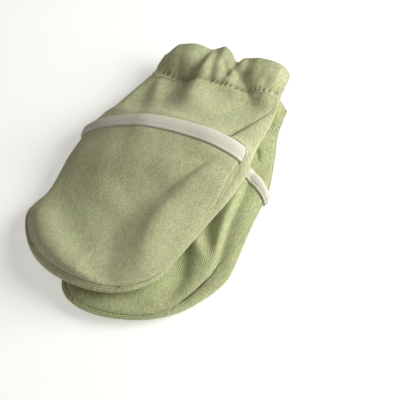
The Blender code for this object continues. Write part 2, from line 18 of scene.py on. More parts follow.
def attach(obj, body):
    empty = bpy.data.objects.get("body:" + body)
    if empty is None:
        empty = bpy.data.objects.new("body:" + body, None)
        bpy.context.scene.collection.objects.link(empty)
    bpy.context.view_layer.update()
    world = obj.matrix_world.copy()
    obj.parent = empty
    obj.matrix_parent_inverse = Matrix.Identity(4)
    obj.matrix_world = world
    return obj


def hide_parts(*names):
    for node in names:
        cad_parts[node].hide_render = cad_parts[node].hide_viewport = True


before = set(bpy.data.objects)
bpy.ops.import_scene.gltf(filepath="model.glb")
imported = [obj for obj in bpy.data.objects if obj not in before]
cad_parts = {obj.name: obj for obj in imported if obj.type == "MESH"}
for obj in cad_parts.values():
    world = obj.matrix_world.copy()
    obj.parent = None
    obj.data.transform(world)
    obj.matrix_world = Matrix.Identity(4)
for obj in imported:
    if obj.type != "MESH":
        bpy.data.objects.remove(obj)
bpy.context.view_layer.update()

bl_info = {
    "name": "Baby mittens",
    "version": (1, 0, 0),
    "blender": (4, 5, 0),
    "location": "3D View > Sidebar > Mittens",
    "description": "Makes a pair of knitted baby mittens with bound flaps and gathered wrists",
    "category": "Add Mesh",
}

METRES = 0.001

# The cloth
SOLID_WALL = 2.2  # of the solids that the cloths stand for
GAP = 0.3  # between the solids of one mitten
CLOTH = 1.0  # how thick one layer is
WIDTH = 76.0  # of a mitten, by which the columns of its grids are counted
STILL_EDGE = 0.17  # the share of a half width over which folds and lumps come in
SIDE_SOFTNESS = 2.1  # of the round down to the sides
FLAT_SHARE = 0.66  # of the underside that lies flat
FLAP_ROOM = 1.5  # how far the wrist panel lies under the flap's face
SEWN_ROOM = 0.2  # the share of it that is left at the seams
UNDERLAP = 20.0  # how far the wrist panel runs on under the flap
FLAP_STEP = 20.0  # over which the flap climbs onto the wrist panel's end
FLAP_SHORT = 0.6  # how far inside its binding the flap's cloth ends
CLEAR_OF_EDGE = 1.6  # past the flap's edge, before the wrist panel comes up from under it
EMERGE = 7.0  # over which it comes up
DROOP_LENGTH = 20.0  # along, to each side of the flap's edge
DROOP_POWER = 9  # holds the droop to the right side

# The frill
PUFF_SHARE = 0.62  # of the frill's length, over which its lobes swell
FRILL_FALL = 1.5  # how far the lobes round over towards the frill's edge
FALL_POWER = 3
UNDER_LOBES = 0.4  # the share of the lobes' rise that the back follows
HEM_ROLL = 1.05  # the turned hem's radius
HEM_TURN = 9  # rows round it
HEM_DEPTH = 8.0  # how far the turned cloth reaches
HEM_ROWS = 7  # of it

# Folds fall away as a bell does at a power of 2, and more sharply below it
VALLEY_POWER = 1.6
RIDGE_POWER = 2.0

# The gathers on the elastic
TROUGH_DEPTH = 0.8
TROUGH_DEEPER = 0.9  # what the sides add
TROUGH_WIDTH = 1.3
PIT_DEPTH = 1.9
PIT_DEEPER = 0.4
PIT_WIDTH = 0.8
PIT_TURN = 2.5  # radians for each millimetre across
PIT_WOBBLE = 1.4
PIT_WOBBLE_LENGTH = 2.7
PUCKER_DEPTH = 0.42
PUCKER_LENGTH = 0.95  # millimetres for each radian
PUCKER_WOBBLE = 1.2
PUCKER_WOBBLE_LENGTH = 5.0
PUCKER_REACH = 4.5  # how far they run out from the elastic
PUCKER_CLEAR = 1.5  # how near to it they begin
GATHERS_VARY = 0.25  # the share of their depth that comes and goes
GATHERS_VARY_SLOWLY = 4.1
GATHERS_VARY_QUICKLY = 2.3
LONG_RIDGE_AT = -11.5  # across, where the long ridge crosses the elastic
LONG_RIDGE_WIDTH = 5.0
BACK_GATHERS = 1.4  # the most that they draw the back in
NEAR_SIDE = 0.8  # the share of a half width from which they reach the back
NEAR_SIDE_FADE = 0.15

# Soft lumps. The starts are multiples of the mitten's own shift.
Lump = namedtuple("Lump", "height length start wobble wobble_length wobble_start")
LUMPS = (
    Lump(0.16, 6.1, 1.0, 0.9, 8.3, 1.0),
    Lump(0.14, 5.3, 0.0, 1.1, 9.7, 2.0),
    Lump(0.10, 3.7, 0.0, 1.7, 11.0, 1.0),
)

# The seams
SEAM_WIDTH = 1.5  # over which a panel's edge turns down into its seam
STEEPEST = 0.3  # the least of a normal's upward part, by which distances on a slope are longer
WELL_INSIDE = 0.5  # the share of a half width within which no seam is near
TIP_LINE = 0.4  # how deep the second line round the finger end is
TIP_LINE_AT = 1.15  # from the seam
TIP_LINE_WIDTH = 0.35
TURNING = 1.6  # of the back's edge, turned in along its seams
TURNING_FADE = 6.0  # at the finger end and the hem
LEAST_TURNING = 0.02  # the share that is left there

# Mesh spacing, and how much closer it is at the seams and at the outline
FINE = 0.75
FINEST = 0.55
SEAM_CROWDING = 0.36
OUTLINE_CROWDING = 0.5
TIP_ROWS = 1.25  # how much closer the rows are round the finger end
WRAP_COLUMNS = 12  # of the back, from the outline to its seams on top
WRAP_POWER = 1.7  # crowds them at the outline
WRAP_SPREAD = 0.1  # what they add to a half width of 1

Section = namedtuple("Section", "along left right left_roll right_roll skew bow belly crown")
Fold = namedtuple("Fold", "along across depth left right")
FrillPoint = namedtuple("FrillPoint", "share reach rise")
Mitten = namedtuple(
    "Mitten",
    "name tip_x tip_y heading edge elastic elastic_bow drawn_in left_smooth gather_shift lump_shift"
    " rounding left_fullness right_fullness groove tip_groove droop sections folds frill",
)

LOWER = Mitten(
    name="lower",
    tip_x=-11.89,
    tip_y=-76.07,
    heading=73.0,
    edge=92.0,
    elastic=128.0,
    elastic_bow=2.0,
    drawn_in=0.4,
    left_smooth=0.0,
    gather_shift=0.2,
    lump_shift=0.4,
    rounding=27.0,
    left_fullness=2.8,
    right_fullness=2.3,
    groove=0.12,
    tip_groove=0.7,
    droop=4.0,
    sections=(
        Section(0, 44, 34, 1.4, 1.4, 15, 0, 5.0, 3.2),
        Section(10, 41.5, 32.5, 1.4, 6.0, 14, 0, 5.0, 3.3),
        Section(20, 39, 34.2, 1.2, 8.0, 13, 1, 5.0, 3.3),
        Section(31, 38, 35.8, 1.0, 7.6, 10.5, 3, 4.8, 3.4),
        Section(40, 38, 36.3, 1.0, 4.0, 7.5, 4, 4.7, 3.5),
        Section(60, 39, 37.2, 0.8, 1.2, 0, 6, 4.4, 3.8),
        Section(80, 39, 38.8, 0.8, 0.8, -5, 8, 4.2, 4.0),
        Section(92, 38, 40, 0.8, 0.8, -8, 8, 4.2, 4.0),
        Section(112, 33, 37.5, 0.8, 0.8, -9, 5, 3.8, 3.8),
        Section(128, 27, 35, 0.8, 0.8, -10, 0, 3.2, 3.0),
        Section(143, 29, 36, 0.8, 0.8, -10, 0, 4.0, 3.2),
    ),
    folds=(
        # The long tuck beside the flap's right seam: its ridge and the valley under it
        (
            Fold(84, 27.6, -0.6, 3.0, 1.3),
            Fold(74, 26.6, -1.2, 3.0, 1.3),
            Fold(62, 25.2, -1.6, 3.0, 1.3),
            Fold(50, 25.6, -1.4, 3.0, 1.3),
            Fold(40, 26.2, -0.8, 3.0, 1.3),
            Fold(32, 25.0, -0.1, 3.0, 1.3),
        ),
        (
            Fold(90, 30.2, 0.8, 1.1, 3.0),
            Fold(80, 29.3, 1.4, 1.1, 3.0),
            Fold(69, 28.2, 1.9, 1.1, 2.8),
            Fold(57, 27.4, 2.3, 1.1, 2.8),
            Fold(46, 28.0, 2.5, 1.1, 2.6),
            Fold(37, 28.3, 2.0, 1.1, 2.4),
            Fold(31, 27.0, 0.4, 1.1, 2.0),
        ),
        # The flap's edge over the band at the finger end
        (
            Fold(32, 26.8, 0.5, 1.1, 2.6),
            Fold(24, 23.9, 1.0, 1.1, 2.6),
            Fold(14, 18.6, 0.9, 1.1, 2.4),
            Fold(6, 8.0, 0.4, 1.1, 2.0),
        ),
        # Hollows beside the mitten on top, and the ridges between them
        (
            Fold(68, 19.0, 1.8, 4.0, 2.6),
            Fold(62, 17.0, 3.8, 4.5, 2.8),
            Fold(54, 18.4, 4.0, 4.5, 2.4),
            Fold(45, 22.4, 0.8, 2.5, 2.0),
        ),
        (
            Fold(52, 12.8, -0.3, 3.0, 2.5),
            Fold(44, 16.6, -1.1, 3.0, 2.5),
            Fold(38, 21.4, -0.8, 3.0, 2.5),
        ),
        (
            Fold(45, 9.4, 2.8, 6.0, 2.4),
            Fold(37, 12.4, 5.2, 7.0, 2.8),
            Fold(28, 14.4, 5.2, 7.5, 3.0),
            Fold(19, 13.6, 2.6, 7.0, 3.6),
            Fold(10, 9.0, 0.0, 6.0, 4.0),
        ),
        # The dimple beside the mitten on top
        (
            Fold(108, 26.4, 0.0, 1.6, 1.4),
            Fold(104.9, 27.9, 1.7, 1.6, 1.4),
            Fold(102.1, 29.3, 2.0, 1.6, 1.4),
            Fold(100.2, 29.9, 1.3, 1.6, 1.4),
            Fold(97, 31.0, 0.0, 1.6, 1.4),
        ),
    ),
    frill=(
        FrillPoint(-1.0, -3.0, 0.0),
        FrillPoint(-0.8, 1.4, 2.2),
        FrillPoint(-0.55, 2.4, 3.2),
        FrillPoint(-0.3, 1.2, 1.6),
        FrillPoint(-0.2, 0.3, 0.2),
        FrillPoint(-0.05, 2.0, 2.4),
        FrillPoint(0.12, 2.2, 2.8),
        FrillPoint(0.3, 0.2, 0.3),
        FrillPoint(0.45, 1.8, 2.4),
        FrillPoint(0.7, 2.4, 3.2),
        FrillPoint(0.88, 1.2, 1.8),
        FrillPoint(1.0, -3.0, 0.0),
    ),
)
UPPER = Mitten(
    name="upper",
    tip_x=-42.39,
    tip_y=-60.07,
    heading=57.5,
    edge=90.2,
    elastic=131.2,
    elastic_bow=4.7,
    drawn_in=1.0,
    left_smooth=0.85,
    gather_shift=1.3,
    lump_shift=2.1,
    rounding=27.0,
    left_fullness=4.8,
    right_fullness=2.2,
    groove=0.1,
    tip_groove=0.6,
    droop=0.0,
    sections=(
        Section(0, 36, 36, 2.0, 2.0, 0, 0, 4.2, 4.6),
        Section(12, 37, 36, 1.3, 1.7, 1, 0, 4.2, 5.0),
        Section(28, 39.3, 36.5, 0.9, 0.9, 3, 0, 4.2, 5.4),
        Section(42, 37.5, 37.5, 0.9, 0.9, 6, 2, 4.2, 5.6),
        Section(57, 39.5, 38.6, 0.9, 1.5, 9, 3, 4.2, 5.6),
        Section(68, 41, 40.0, 0.9, 4.4, 12, 4, 4.2, 5.4),
        Section(78, 41.6, 40.1, 0.9, 5.6, 13.5, 4.4, 4.2, 5.2),
        Section(91, 42, 37.0, 0.9, 3.4, 16, 5, 4.2, 5.0),
        Section(94, 41.8, 36.0, 0.9, 13.0, 16.5, 4.8, 4.2, 5.0),
        Section(100, 40.8, 34.6, 0.9, 12.5, 17, 4.4, 4.2, 5.0),
        Section(106, 39.0, 33.8, 0.9, 9.6, 17, 3.8, 4.0, 4.8),
        Section(113, 38.4, 32.8, 0.9, 7.1, 17, 2.8, 3.6, 4.6),
        Section(119, 37.5, 31.6, 0.9, 4.2, 17, 1.8, 3.4, 4.2),
        Section(125, 37.0, 30.5, 0.9, 1.9, 17, 0.8, 3.1, 3.8),
        Section(132, 36.4, 28.8, 0.9, 0.9, 17, 0, 3.0, 3.2),
        Section(140, 35.5, 27.0, 0.9, 0.9, 17, 0, 3.4, 3.0),
        Section(147, 35.5, 25.4, 0.9, 0.9, 17, 0, 3.8, 3.0),
    ),
    folds=(
        # The valley between the first two lobes, running on over the elastic
        (
            Fold(151, -14.6, 0.1, 3.0, 1.8),
            Fold(145, -15.2, 1.0, 4.2, 1.8),
            Fold(140, -15.8, 2.0, 5.4, 1.9),
            Fold(135, -16.4, 2.9, 5.6, 2.2),
            Fold(131.4, -17.2, 3.1, 5.5, 2.5),
            Fold(124.3, -18.9, 3.5, 6.0, 3.6),
            Fold(113.2, -18.6, 3.1, 6.0, 4.8),
            Fold(106, -18.0, 2.2, 6.0, 5.5),
            Fold(97, -15.0, 0.0, 6.0, 6.0),
        ),
        # The long ridge beside it
        (
            Fold(147, -12.0, -0.3, 2.5, 3.5),
            Fold(141.7, -11.6, -1.2, 2.5, 4.5),
            Fold(136.3, -10.8, -2.3, 3.0, 6.0),
            Fold(130.6, -10.5, -3.0, 3.6, 7.0),
            Fold(123.8, -9.8, -3.3, 4.5, 8.0),
            Fold(116.7, -7.5, -2.7, 5.0, 8.0),
            Fold(110.2, -5.0, -1.6, 5.5, 8.0),
            Fold(102, -3.0, 0.0, 6.0, 8.0),
        ),
        # The hollow at the wrist's left and the ridge beside it
        (
            Fold(118, -32.0, 0.2, 4.5, 3.5),
            Fold(110.2, -30.1, 2.9, 6.0, 4.2),
            Fold(103, -27.5, 3.2, 7.0, 5.0),
            Fold(94.4, -25.5, 1.4, 7.0, 6.0),
        ),
        (
            Fold(124, -29.5, -0.4, 3.0, 3.0),
            Fold(116, -26.3, -1.1, 3.5, 3.5),
            Fold(106.3, -22.2, -0.9, 4.0, 4.0),
            Fold(97, -19.0, 0.0, 4.0, 4.0),
        ),
        # The small pleat of the second lobe
        (
            Fold(144.5, -5.6, 0.0, 1.8, 1.4),
            Fold(142.0, -4.0, 1.0, 1.8, 1.4),
            Fold(140.2, -2.6, 2.0, 2.0, 1.4),
            Fold(138.6, -0.7, 1.8, 2.0, 1.4),
            Fold(136.8, 1.0, 1.1, 1.8, 1.4),
            Fold(135.0, 2.6, 0.0, 1.8, 1.4),
        ),
        # The valley between the last two lobes, down to the dimple on the elastic
        (
            Fold(149, -0.2, 0.9, 1.6, 1.8),
            Fold(145.1, 0.8, 2.0, 1.6, 2.0),
            Fold(142.0, 1.7, 2.4, 1.7, 2.2),
            Fold(140.8, 4.6, 2.2, 1.8, 2.2),
            Fold(139.6, 8.6, 2.2, 2.0, 2.2),
            Fold(137.6, 11.6, 2.8, 2.2, 2.4),
            Fold(135.4, 13.9, 3.8, 2.2, 2.4),
            Fold(133.6, 15.8, 3.4, 2.4, 2.6),
            Fold(131.5, 18.6, 1.0, 3.2, 3.0),
            Fold(129, 22.0, 0.0, 3.0, 3.0),
        ),
        (
            Fold(136, 4.0, 0.0, 3.0, 3.0),
            Fold(131.7, 7.2, -0.9, 3.2, 3.2),
            Fold(127, 9.5, 0.0, 3.5, 3.5),
        ),
        # The hollow above the lap, and the lap where the back comes over the wrist
        (
            Fold(110, 6.0, 0.0, 5.0, 6.0),
            Fold(116, 10.0, 1.6, 5.0, 7.0),
            Fold(122, 13.5, 2.8, 5.0, 8.0),
            Fold(127, 17.0, 2.8, 4.5, 7.0),
            Fold(131, 21.0, 1.8, 4.0, 5.0),
            Fold(135, 25.8, 0.4, 3.0, 3.0),
        ),
        (
            Fold(101, 21.0, 0.0, 2.4, 1.2),
            Fold(105, 21.2, 2.5, 3.0, 1.4),
            Fold(109, 21.5, 3.0, 3.6, 1.6),
            Fold(115.2, 23.0, 2.8, 4.4, 2.0),
            Fold(120.9, 24.5, 1.5, 5.5, 2.6),
            Fold(126.5, 26.6, 0.6, 4.0, 3.0),
            Fold(131.8, 28.4, 0.0, 3.0, 2.5),
        ),
        # The crease along the band beside the flap
        (
            Fold(101, 34.4, 0.2, 0.9, 2.4),
            Fold(95, 35.0, 1.3, 0.9, 2.8),
            Fold(87.4, 35.6, 1.8, 0.9, 3.0),
            Fold(76.4, 36.6, 1.6, 0.9, 2.6),
            Fold(68, 37.4, 0.9, 0.9, 2.0),
            Fold(61, 38.0, 0.0, 0.9, 1.5),
        ),
        # The flap's long trough
        (
            Fold(88, 24.0, 0.0, 1.6, 1.2),
            Fold(82, 21.6, 1.2, 2.6, 1.5),
            Fold(74, 18.2, 1.7, 3.2, 1.9),
            Fold(65, 14.4, 2.0, 5.0, 2.8),
            Fold(57, 10.0, 2.7, 10.0, 5.0),
            Fold(48, 6.5, 3.6, 13.0, 7.0),
            Fold(38, 4.5, 4.2, 15.0, 9.0),
            Fold(29, 7.0, 4.0, 13.0, 9.5),
            Fold(20, 12.0, 3.0, 10.0, 8.5),
            Fold(10, 17.0, 1.2, 8.0, 7.0),
            Fold(3, 20.0, 0.0, 7.0, 6.0),
        ),
        # The crest that stands over it
        (
            Fold(72, 22.0, 0.0, 3.0, 5.0),
            Fold(64, 21.0, -0.6, 3.0, 6.0),
            Fold(57, 19.6, -1.1, 3.5, 7.0),
            Fold(49, 18.5, -1.5, 4.5, 8.0),
            Fold(41, 19.0, -1.8, 5.0, 8.5),
            Fold(33, 21.6, -1.7, 5.0, 7.5),
            Fold(25, 25.0, -1.0, 5.0, 6.0),
            Fold(17, 27.5, 0.0, 4.5, 4.5),
        ),
        # The swell beside it, over the finger end's left corner
        (
            Fold(36, -34.0, 0.0, 5.0, 6.0),
            Fold(27, -32.5, -1.2, 6.0, 8.0),
            Fold(18, -28.0, -3.4, 6.0, 9.5),
            Fold(9, -20.0, -4.6, 6.0, 9.5),
            Fold(4, -8.0, -4.2, 6.0, 9.5),
            Fold(3, 3.0, -2.8, 5.0, 8.5),
            Fold(3, 13.0, -1.2, 5.0, 7.0),
            Fold(2, 22.0, 0.0, 4.0, 4.0),
        ),
        # The shallow one behind the swell
        (
            Fold(46, -38.0, 0.3, 6.0, 8.0),
            Fold(39, -28.7, 1.0, 10.0, 12.0),
            Fold(32, -19.3, 2.1, 11.0, 15.0),
            Fold(25, -10.0, 2.8, 9.0, 16.0),
            Fold(18, -0.7, 1.9, 8.0, 13.0),
            Fold(11, 8.7, 0.0, 7.0, 9.0),
        ),
    ),
    frill=(
        FrillPoint(-1.0, -1.0, 0.0),
        FrillPoint(-0.93, 3.4, 4.0),
        FrillPoint(-0.845, 4.2, 4.6),
        FrillPoint(-0.70, 4.2, 4.6),
        FrillPoint(-0.59, 4.5, 4.4),
        FrillPoint(-0.47, 4.6, 4.0),
        FrillPoint(-0.405, 5.2, 3.2),
        FrillPoint(-0.355, 7.0, 3.7),
        FrillPoint(-0.28, 7.2, 4.2),
        FrillPoint(-0.19, 6.0, 3.8),
        FrillPoint(-0.10, 3.9, 2.6),
        FrillPoint(-0.006, 1.6, 1.2),
        FrillPoint(0.05, 3.8, 2.8),
        FrillPoint(0.154, 5.1, 3.8),
        FrillPoint(0.45, 4.6, 4.2),
        FrillPoint(0.73, 4.3, 3.8),
        FrillPoint(0.87, 4.4, 3.2),
        FrillPoint(0.95, 3.8, 2.2),
        FrillPoint(1.0, 2.0, 0.0),
    ),
)
MITTENS = (LOWER, UPPER)

# What the upper mitten lies on
CARRIED_CLEAR = 0.8  # left between the lower mitten and what it carries
BRIDGED = 0.8  # the share of the lower one's half width past which the upper one doesn't dip
SHOULDER = 12.0  # how far inside the lower one's outline the upper one begins to sag
SAG_REACH = 40.0  # over which it sags
SAG_CLEAR = 1.0  # left between its sagging side and the floor
BINDING_BACK = 7.2  # from the flap's edge to the binding's far side
BINDING_TOP = 1.4  # how far the binding stands up
BINDING_SLOPE = 14.0  # over which the upper one comes down beside it

# The binding's section. along: from the flap's edge. out: from the flap's face.
BindingPoint = namedtuple("BindingPoint", "along out")
BINDING = (
    BindingPoint(-7.0, -0.9),
    BindingPoint(-7.4, -0.2),
    BindingPoint(-7.2, 0.5),
    BindingPoint(-6.7, 0.9),
    BindingPoint(-6.0, 0.85),
    BindingPoint(-5.3, 1.0),
    BindingPoint(-4.0, 1.35),
    BindingPoint(-2.4, 1.45),
    BindingPoint(-1.2, 1.3),
    BindingPoint(-0.3, 0.95),
    BindingPoint(0.4, 0.45),
    BindingPoint(0.6, -0.4),
    BindingPoint(0.2, -1.2),
    BindingPoint(-0.8, -1.6),
    BindingPoint(-2.6, -1.7),
    BindingPoint(-5.0, -1.7),
)
BINDING_SPLIT = 3  # rows for each of these
BINDING_HEART = -0.3  # the level at which its ends close
BINDING_END = 0.9  # over which they close
BINDING_PAST_SEAM = 0.2  # how far they reach over the seam
BINDING_PAST_SHARE = 0.4  # the most of the way to the outline that they reach
BINDING_CORNER = 1.6  # how far the corner at its upper edge is drawn in
BINDING_CORNER_FROM = 4.2  # behind the flap's edge
BINDING_CORNER_LONG = 4.6
BINDING_LUMPS = 0.7  # the share of the cloth's lumps that it follows
DITCH_DEPTH = 0.5  # where its stitches draw the flap in
DITCH_WIDTH = 0.8
NUDGE = 0.05  # to each side of a place, to find which way it faces
RIM = 0.6  # within which the upper side has no direction of its own

# Stitches. The threads' radii are in metres.
STITCH_SIDES = 6
ZIGZAG_STEP = 1.25
ZIGZAG_SWING = 0.55
ZIGZAG_CLEAR = 2.5  # of the outline, at both ends
ZIGZAG_OUT = 0.06
ZIGZAG_SHORT = 0.85  # the share of a step that a stitch fills
ZIGZAG_THREAD = 0.00019
BINDING_STITCH = 2.3  # from one to the next
BINDING_STITCH_SHORT = 0.62
BINDING_STITCH_AT = -6.0  # from the flap's edge
BINDING_STITCH_OUT = 0.85
BINDING_STITCH_ENDS = 0.93  # the share of the half width that they reach
BINDING_THREAD = 0.0002

# The knit's finish. A noise's scale is cells to a millimetre over the cloth.
WANDER_SCALE = 0.35
WANDER = 0.8  # how many millimetres the ribs wander
LOOP_LEAN = 0.55  # of a course, from the middle of a rib to its side
LOOP_SHARE = 0.4  # of a rib's height that its loops make
NAP_SCALE = 0.9
NAP_HEIGHT = 1.6  # as a share of a rib's
FUZZ_SCALE = 2.2
FUZZ_HEIGHT = 1.5
SLUB_SCALE = (1.0, 0.5, 1.0)  # draws slubs out along the ribs
TONE_SCALE = 1.1
TONE_RANGE = (0.36, 0.64)
SPECKLE_SCALE = 1.15
BLOTCH_SCALE = 120.0  # cells to a metre
BLOTCH_RANGE = (0.38, 0.62)
BLOTCHED = 0.7  # the share of the plain colour that blotches take over
BLOTCH_SHARE = 0.5  # of them against the tone of the slubs
PAINTED_RIB_HOLLOW_SHADE = 0.14  # painted shade: how much darker the colour is made in the hollows between the ribs

# The threads' finish
TWIST_SCALE = 4000.0  # cells to a metre
TWIST_SHADE = 0.8
TWIST_DEPTH = 0.0001


def smooth_step(share):
    """0 to 1, level at both ends."""
    share = np.clip(share, 0.0, 1.0)
    return share * share * (3.0 - 2.0 * share)


def rounded(share):
    """A quarter of a circle: it leaves 0 upright and reaches 1 level."""
    share = np.clip(share, 0.0, 1.0)
    return np.sqrt(1.0 - (1.0 - share) ** 2)


def bell(distance, width):
    """1 at no distance, fading to both sides."""
    return np.exp(-((distance / width) ** 2))


def curve_through(places, values, wanted):
    """A smooth curve through the values that never overshoots them."""
    places = np.asarray(places, float)
    values = np.asarray(values, float)
    steps = np.diff(values) / np.diff(places)
    before, after = steps[:-1], steps[1:]
    both = before + after
    turning = before * after <= 0.0
    inner = np.where(turning, 0.0, 2.0 * before * after / np.where(turning, 1.0, both))
    slope = np.concatenate([steps[:1], inner, steps[-1:]])
    wanted = np.clip(wanted, places[0], places[-1])
    i = np.clip(np.searchsorted(places, wanted, side="right") - 1, 0, len(places) - 2)
    span = places[i + 1] - places[i]
    s = (wanted - places[i]) / span
    return (
        (1 + 2 * s) * (1 - s) ** 2 * values[i]
        + s * s * (3 - 2 * s) * values[i + 1]
        + s * (1 - s) ** 2 * span * slope[i]
        - s * s * (1 - s) * span * slope[i + 1]
    )


def section_at(mitten, column, along):
    """One column of a mitten's sections."""
    places = [row.along for row in mitten.sections]
    return curve_through(places, [getattr(row, column) for row in mitten.sections], along)


def length_of(mitten):
    """From the finger end to the frill's edge."""
    return mitten.sections[-1].along


def full_half(mitten, along, side):
    """From the middle to the outline, as if the finger end were square."""
    left = section_at(mitten, "left", along)
    return np.where(side < 0, left, section_at(mitten, "right", along))


def outwardness(mitten, along, across):
    """1 on the outline and 0 well inside it."""
    short_of = np.maximum(0.0, 1.0 - along / mitten.rounding)
    return np.minimum(1.0, np.hypot(short_of, across / full_half(mitten, along, across)))


def elastic_at(mitten, share):
    """How far along the elastic lies. It is bowed towards the frill at both sides."""
    return mitten.elastic + mitten.elastic_bow * share * share


def past_elastic(mitten, along, share):
    """0 at the elastic and 1 at the frill's edge."""
    elastic = elastic_at(mitten, share)
    return np.clip((along - elastic) / (length_of(mitten) - elastic), 0.0, 1.0)


def frilled(mitten, share, column):
    """One column of a mitten's frill."""
    shares = [point.share for point in mitten.frill]
    return curve_through(shares, [getattr(point, column) for point in mitten.frill], share)


def frill_reach(mitten, along, share):
    """How far the frill's edge stands out."""
    return smooth_step(past_elastic(mitten, along, share)) * frilled(mitten, share, "reach")


def frill_rise(mitten, along, share):
    """How far the frill's lobes puff up between the elastic and their edge."""
    past = past_elastic(mitten, along, share)
    swell = smooth_step(past / PUFF_SHARE)
    return swell * frilled(mitten, share, "rise") - FRILL_FALL * past**FALL_POWER


def under_rise(mitten, along, share):
    """How far a back panel follows the frill's lobes up."""
    past = past_elastic(mitten, along, share)
    return UNDER_LOBES * smooth_step(past) * frilled(mitten, share, "rise")


def under_flap(mitten, along):
    """1 where the flap covers the wrist panel, 0 where the wrist panel is out from under it."""
    return 1.0 - smooth_step((along - mitten.edge - CLEAR_OF_EDGE) / EMERGE)


def flap_lift(mitten, along):
    """How far the flap stands up because the wrist panel runs on under it."""
    climb = smooth_step((along - mitten.edge + UNDERLAP + FLAP_STEP) / FLAP_STEP)
    return (SOLID_WALL + GAP) * climb * under_flap(mitten, along)


def side_fall(mitten, outward, share):
    """1 in the middle, falling upright to 0 at the outline."""
    to_right = smooth_step((1.0 + share) / 2.0)
    fullness = (1.0 - to_right) * mitten.left_fullness + to_right * mitten.right_fullness
    return (1.0 - np.clip(outward, 0.0, 1.0) ** fullness) ** (1.0 / SIDE_SOFTNESS)


def stillness(share):
    """0 at the outline, where the front and the underside meet, and 1 a little way in."""
    return smooth_step((1.0 - np.abs(share)) / STILL_EDGE)


def skew_at(mitten, along):
    """How far along a section runs for each millimetre across."""
    return np.tan(np.radians(section_at(mitten, "skew", along)))


def turned_along(mitten, along, across, share):
    """How far along a place comes to lie when its section is turned and bowed."""
    bow = section_at(mitten, "bow", along) * (1.0 - share * share)
    near_edge = bell(along - mitten.edge, DROOP_LENGTH)
    droop = mitten.droop * near_edge * np.maximum(0.0, share) ** DROOP_POWER
    reach = frill_reach(mitten, along, share)
    return along + skew_at(mitten, along) * across + bow - droop + reach


def to_row(mitten, along, across):
    """(x, y) in the row frame of a place in the mitten's own frame."""
    turn = math.radians(mitten.heading)
    x = mitten.tip_x + along * math.cos(turn) + across * math.sin(turn)
    y = mitten.tip_y + along * math.sin(turn) - across * math.cos(turn)
    return x, y


def from_row(mitten, x, y):
    """(along, across) in the mitten's own frame of a place in the row frame."""
    turn = math.radians(mitten.heading)
    x, y = x - mitten.tip_x, y - mitten.tip_y
    along = x * math.cos(turn) + y * math.sin(turn)
    return along, x * math.sin(turn) - y * math.cos(turn)


def on_sections(mitten, x, y):
    """(along, across) on the mitten's sections, before they are turned."""
    along, across = from_row(mitten, x, y)
    return along - skew_at(mitten, along) * across, across


def front_height(mitten, along, across):
    """The front's height over the bed, without its folds and seams."""
    outward = outwardness(mitten, along, across)
    share = across / full_half(mitten, along, across)
    crown = section_at(mitten, "crown", along) + flap_lift(mitten, along)
    rise = stillness(outward) * frill_rise(mitten, along, share)
    return section_at(mitten, "belly", along) + crown * side_fall(mitten, outward, share) + rise


def carried_height(x, y):
    """The height that the upper mitten needs over the lower one's front and binding."""
    along, across = on_sections(LOWER, x, y)
    half = full_half(LOWER, along, across)
    share = np.clip(across / half, -BRIDGED, BRIDGED)
    along = along - section_at(LOWER, "bow", along) * (1.0 - share * share)
    height = front_height(LOWER, np.maximum(along, LOWER.rounding), share * half)
    nearest = np.clip(along, LOWER.edge - BINDING_BACK, LOWER.edge)
    near = 1.0 - smooth_step(np.abs(along - nearest) / BINDING_SLOPE)
    return height + BINDING_TOP * near + CARRIED_CLEAR


def bed(mitten, x, y):
    """The height of what the mitten lies on."""
    if mitten is LOWER:
        return np.zeros_like(x)
    along, across = on_sections(LOWER, x, y)
    beyond = np.abs(across) - full_half(LOWER, along, across) + SHOULDER
    past = np.hypot(np.maximum(0.0, beyond), np.maximum(0.0, SHOULDER - along))
    top = carried_height(x, y)
    return top + (SAG_CLEAR - top) * smooth_step(past / SAG_REACH)


def fold_drop(folds, along, across):
    """How far the folds lower the front at a place in the mitten's own frame."""
    drop = np.zeros_like(along)
    for fold in folds:
        nearest = np.full_like(along, np.inf)
        here = np.zeros_like(along)
        for start, end in zip(fold, fold[1:]):
            run_along, run_across = end.along - start.along, end.across - start.across
            off_along, off_across = along - start.along, across - start.across
            long = math.hypot(run_along, run_across)
            share = (off_along * run_along + off_across * run_across) / long**2
            share = np.clip(share, 0.0, 1.0)
            away = np.hypot(off_along - share * run_along, off_across - share * run_across)
            forwards = math.copysign(1.0, run_along)
            to_right = forwards * (off_across * run_along - off_along * run_across) > 0.0
            starting = np.where(to_right, start.right, start.left)
            ending = np.where(to_right, end.right, end.left)
            width = (1 - share) * starting + share * ending
            depth = (1 - share) * start.depth + share * end.depth
            power = np.where(depth > 0.0, VALLEY_POWER, RIDGE_POWER)
            here = np.where(away < nearest, depth * np.exp(-((away / width) ** power)), here)
            nearest = np.minimum(nearest, away)
        drop += here
    return drop


def soft_limit(drop, room):
    """A drop that eases off before it uses up the room for it. A rise is left as it is."""
    room = np.maximum(room, 0.001)
    return np.where(drop <= 0.0, drop, room * (1.0 - np.exp(-np.maximum(drop, 0.0) / room)))


def top_surface(mitten, along, across):
    """Points of the upper side, with its folds."""
    share = across / full_half(mitten, along, across)
    own_along = turned_along(mitten, along, across, share)
    x, y = to_row(mitten, own_along, across)
    height = front_height(mitten, along, across)
    layers = 2 * CLOTH + FLAP_ROOM * under_flap(mitten, along) + under_rise(mitten, along, share)
    drop = soft_limit(fold_drop(mitten.folds, own_along, across), height - layers)
    drop = drop * stillness(outwardness(mitten, along, across))
    return np.stack([x, y, bed(mitten, x, y) + height - drop], axis=-1)


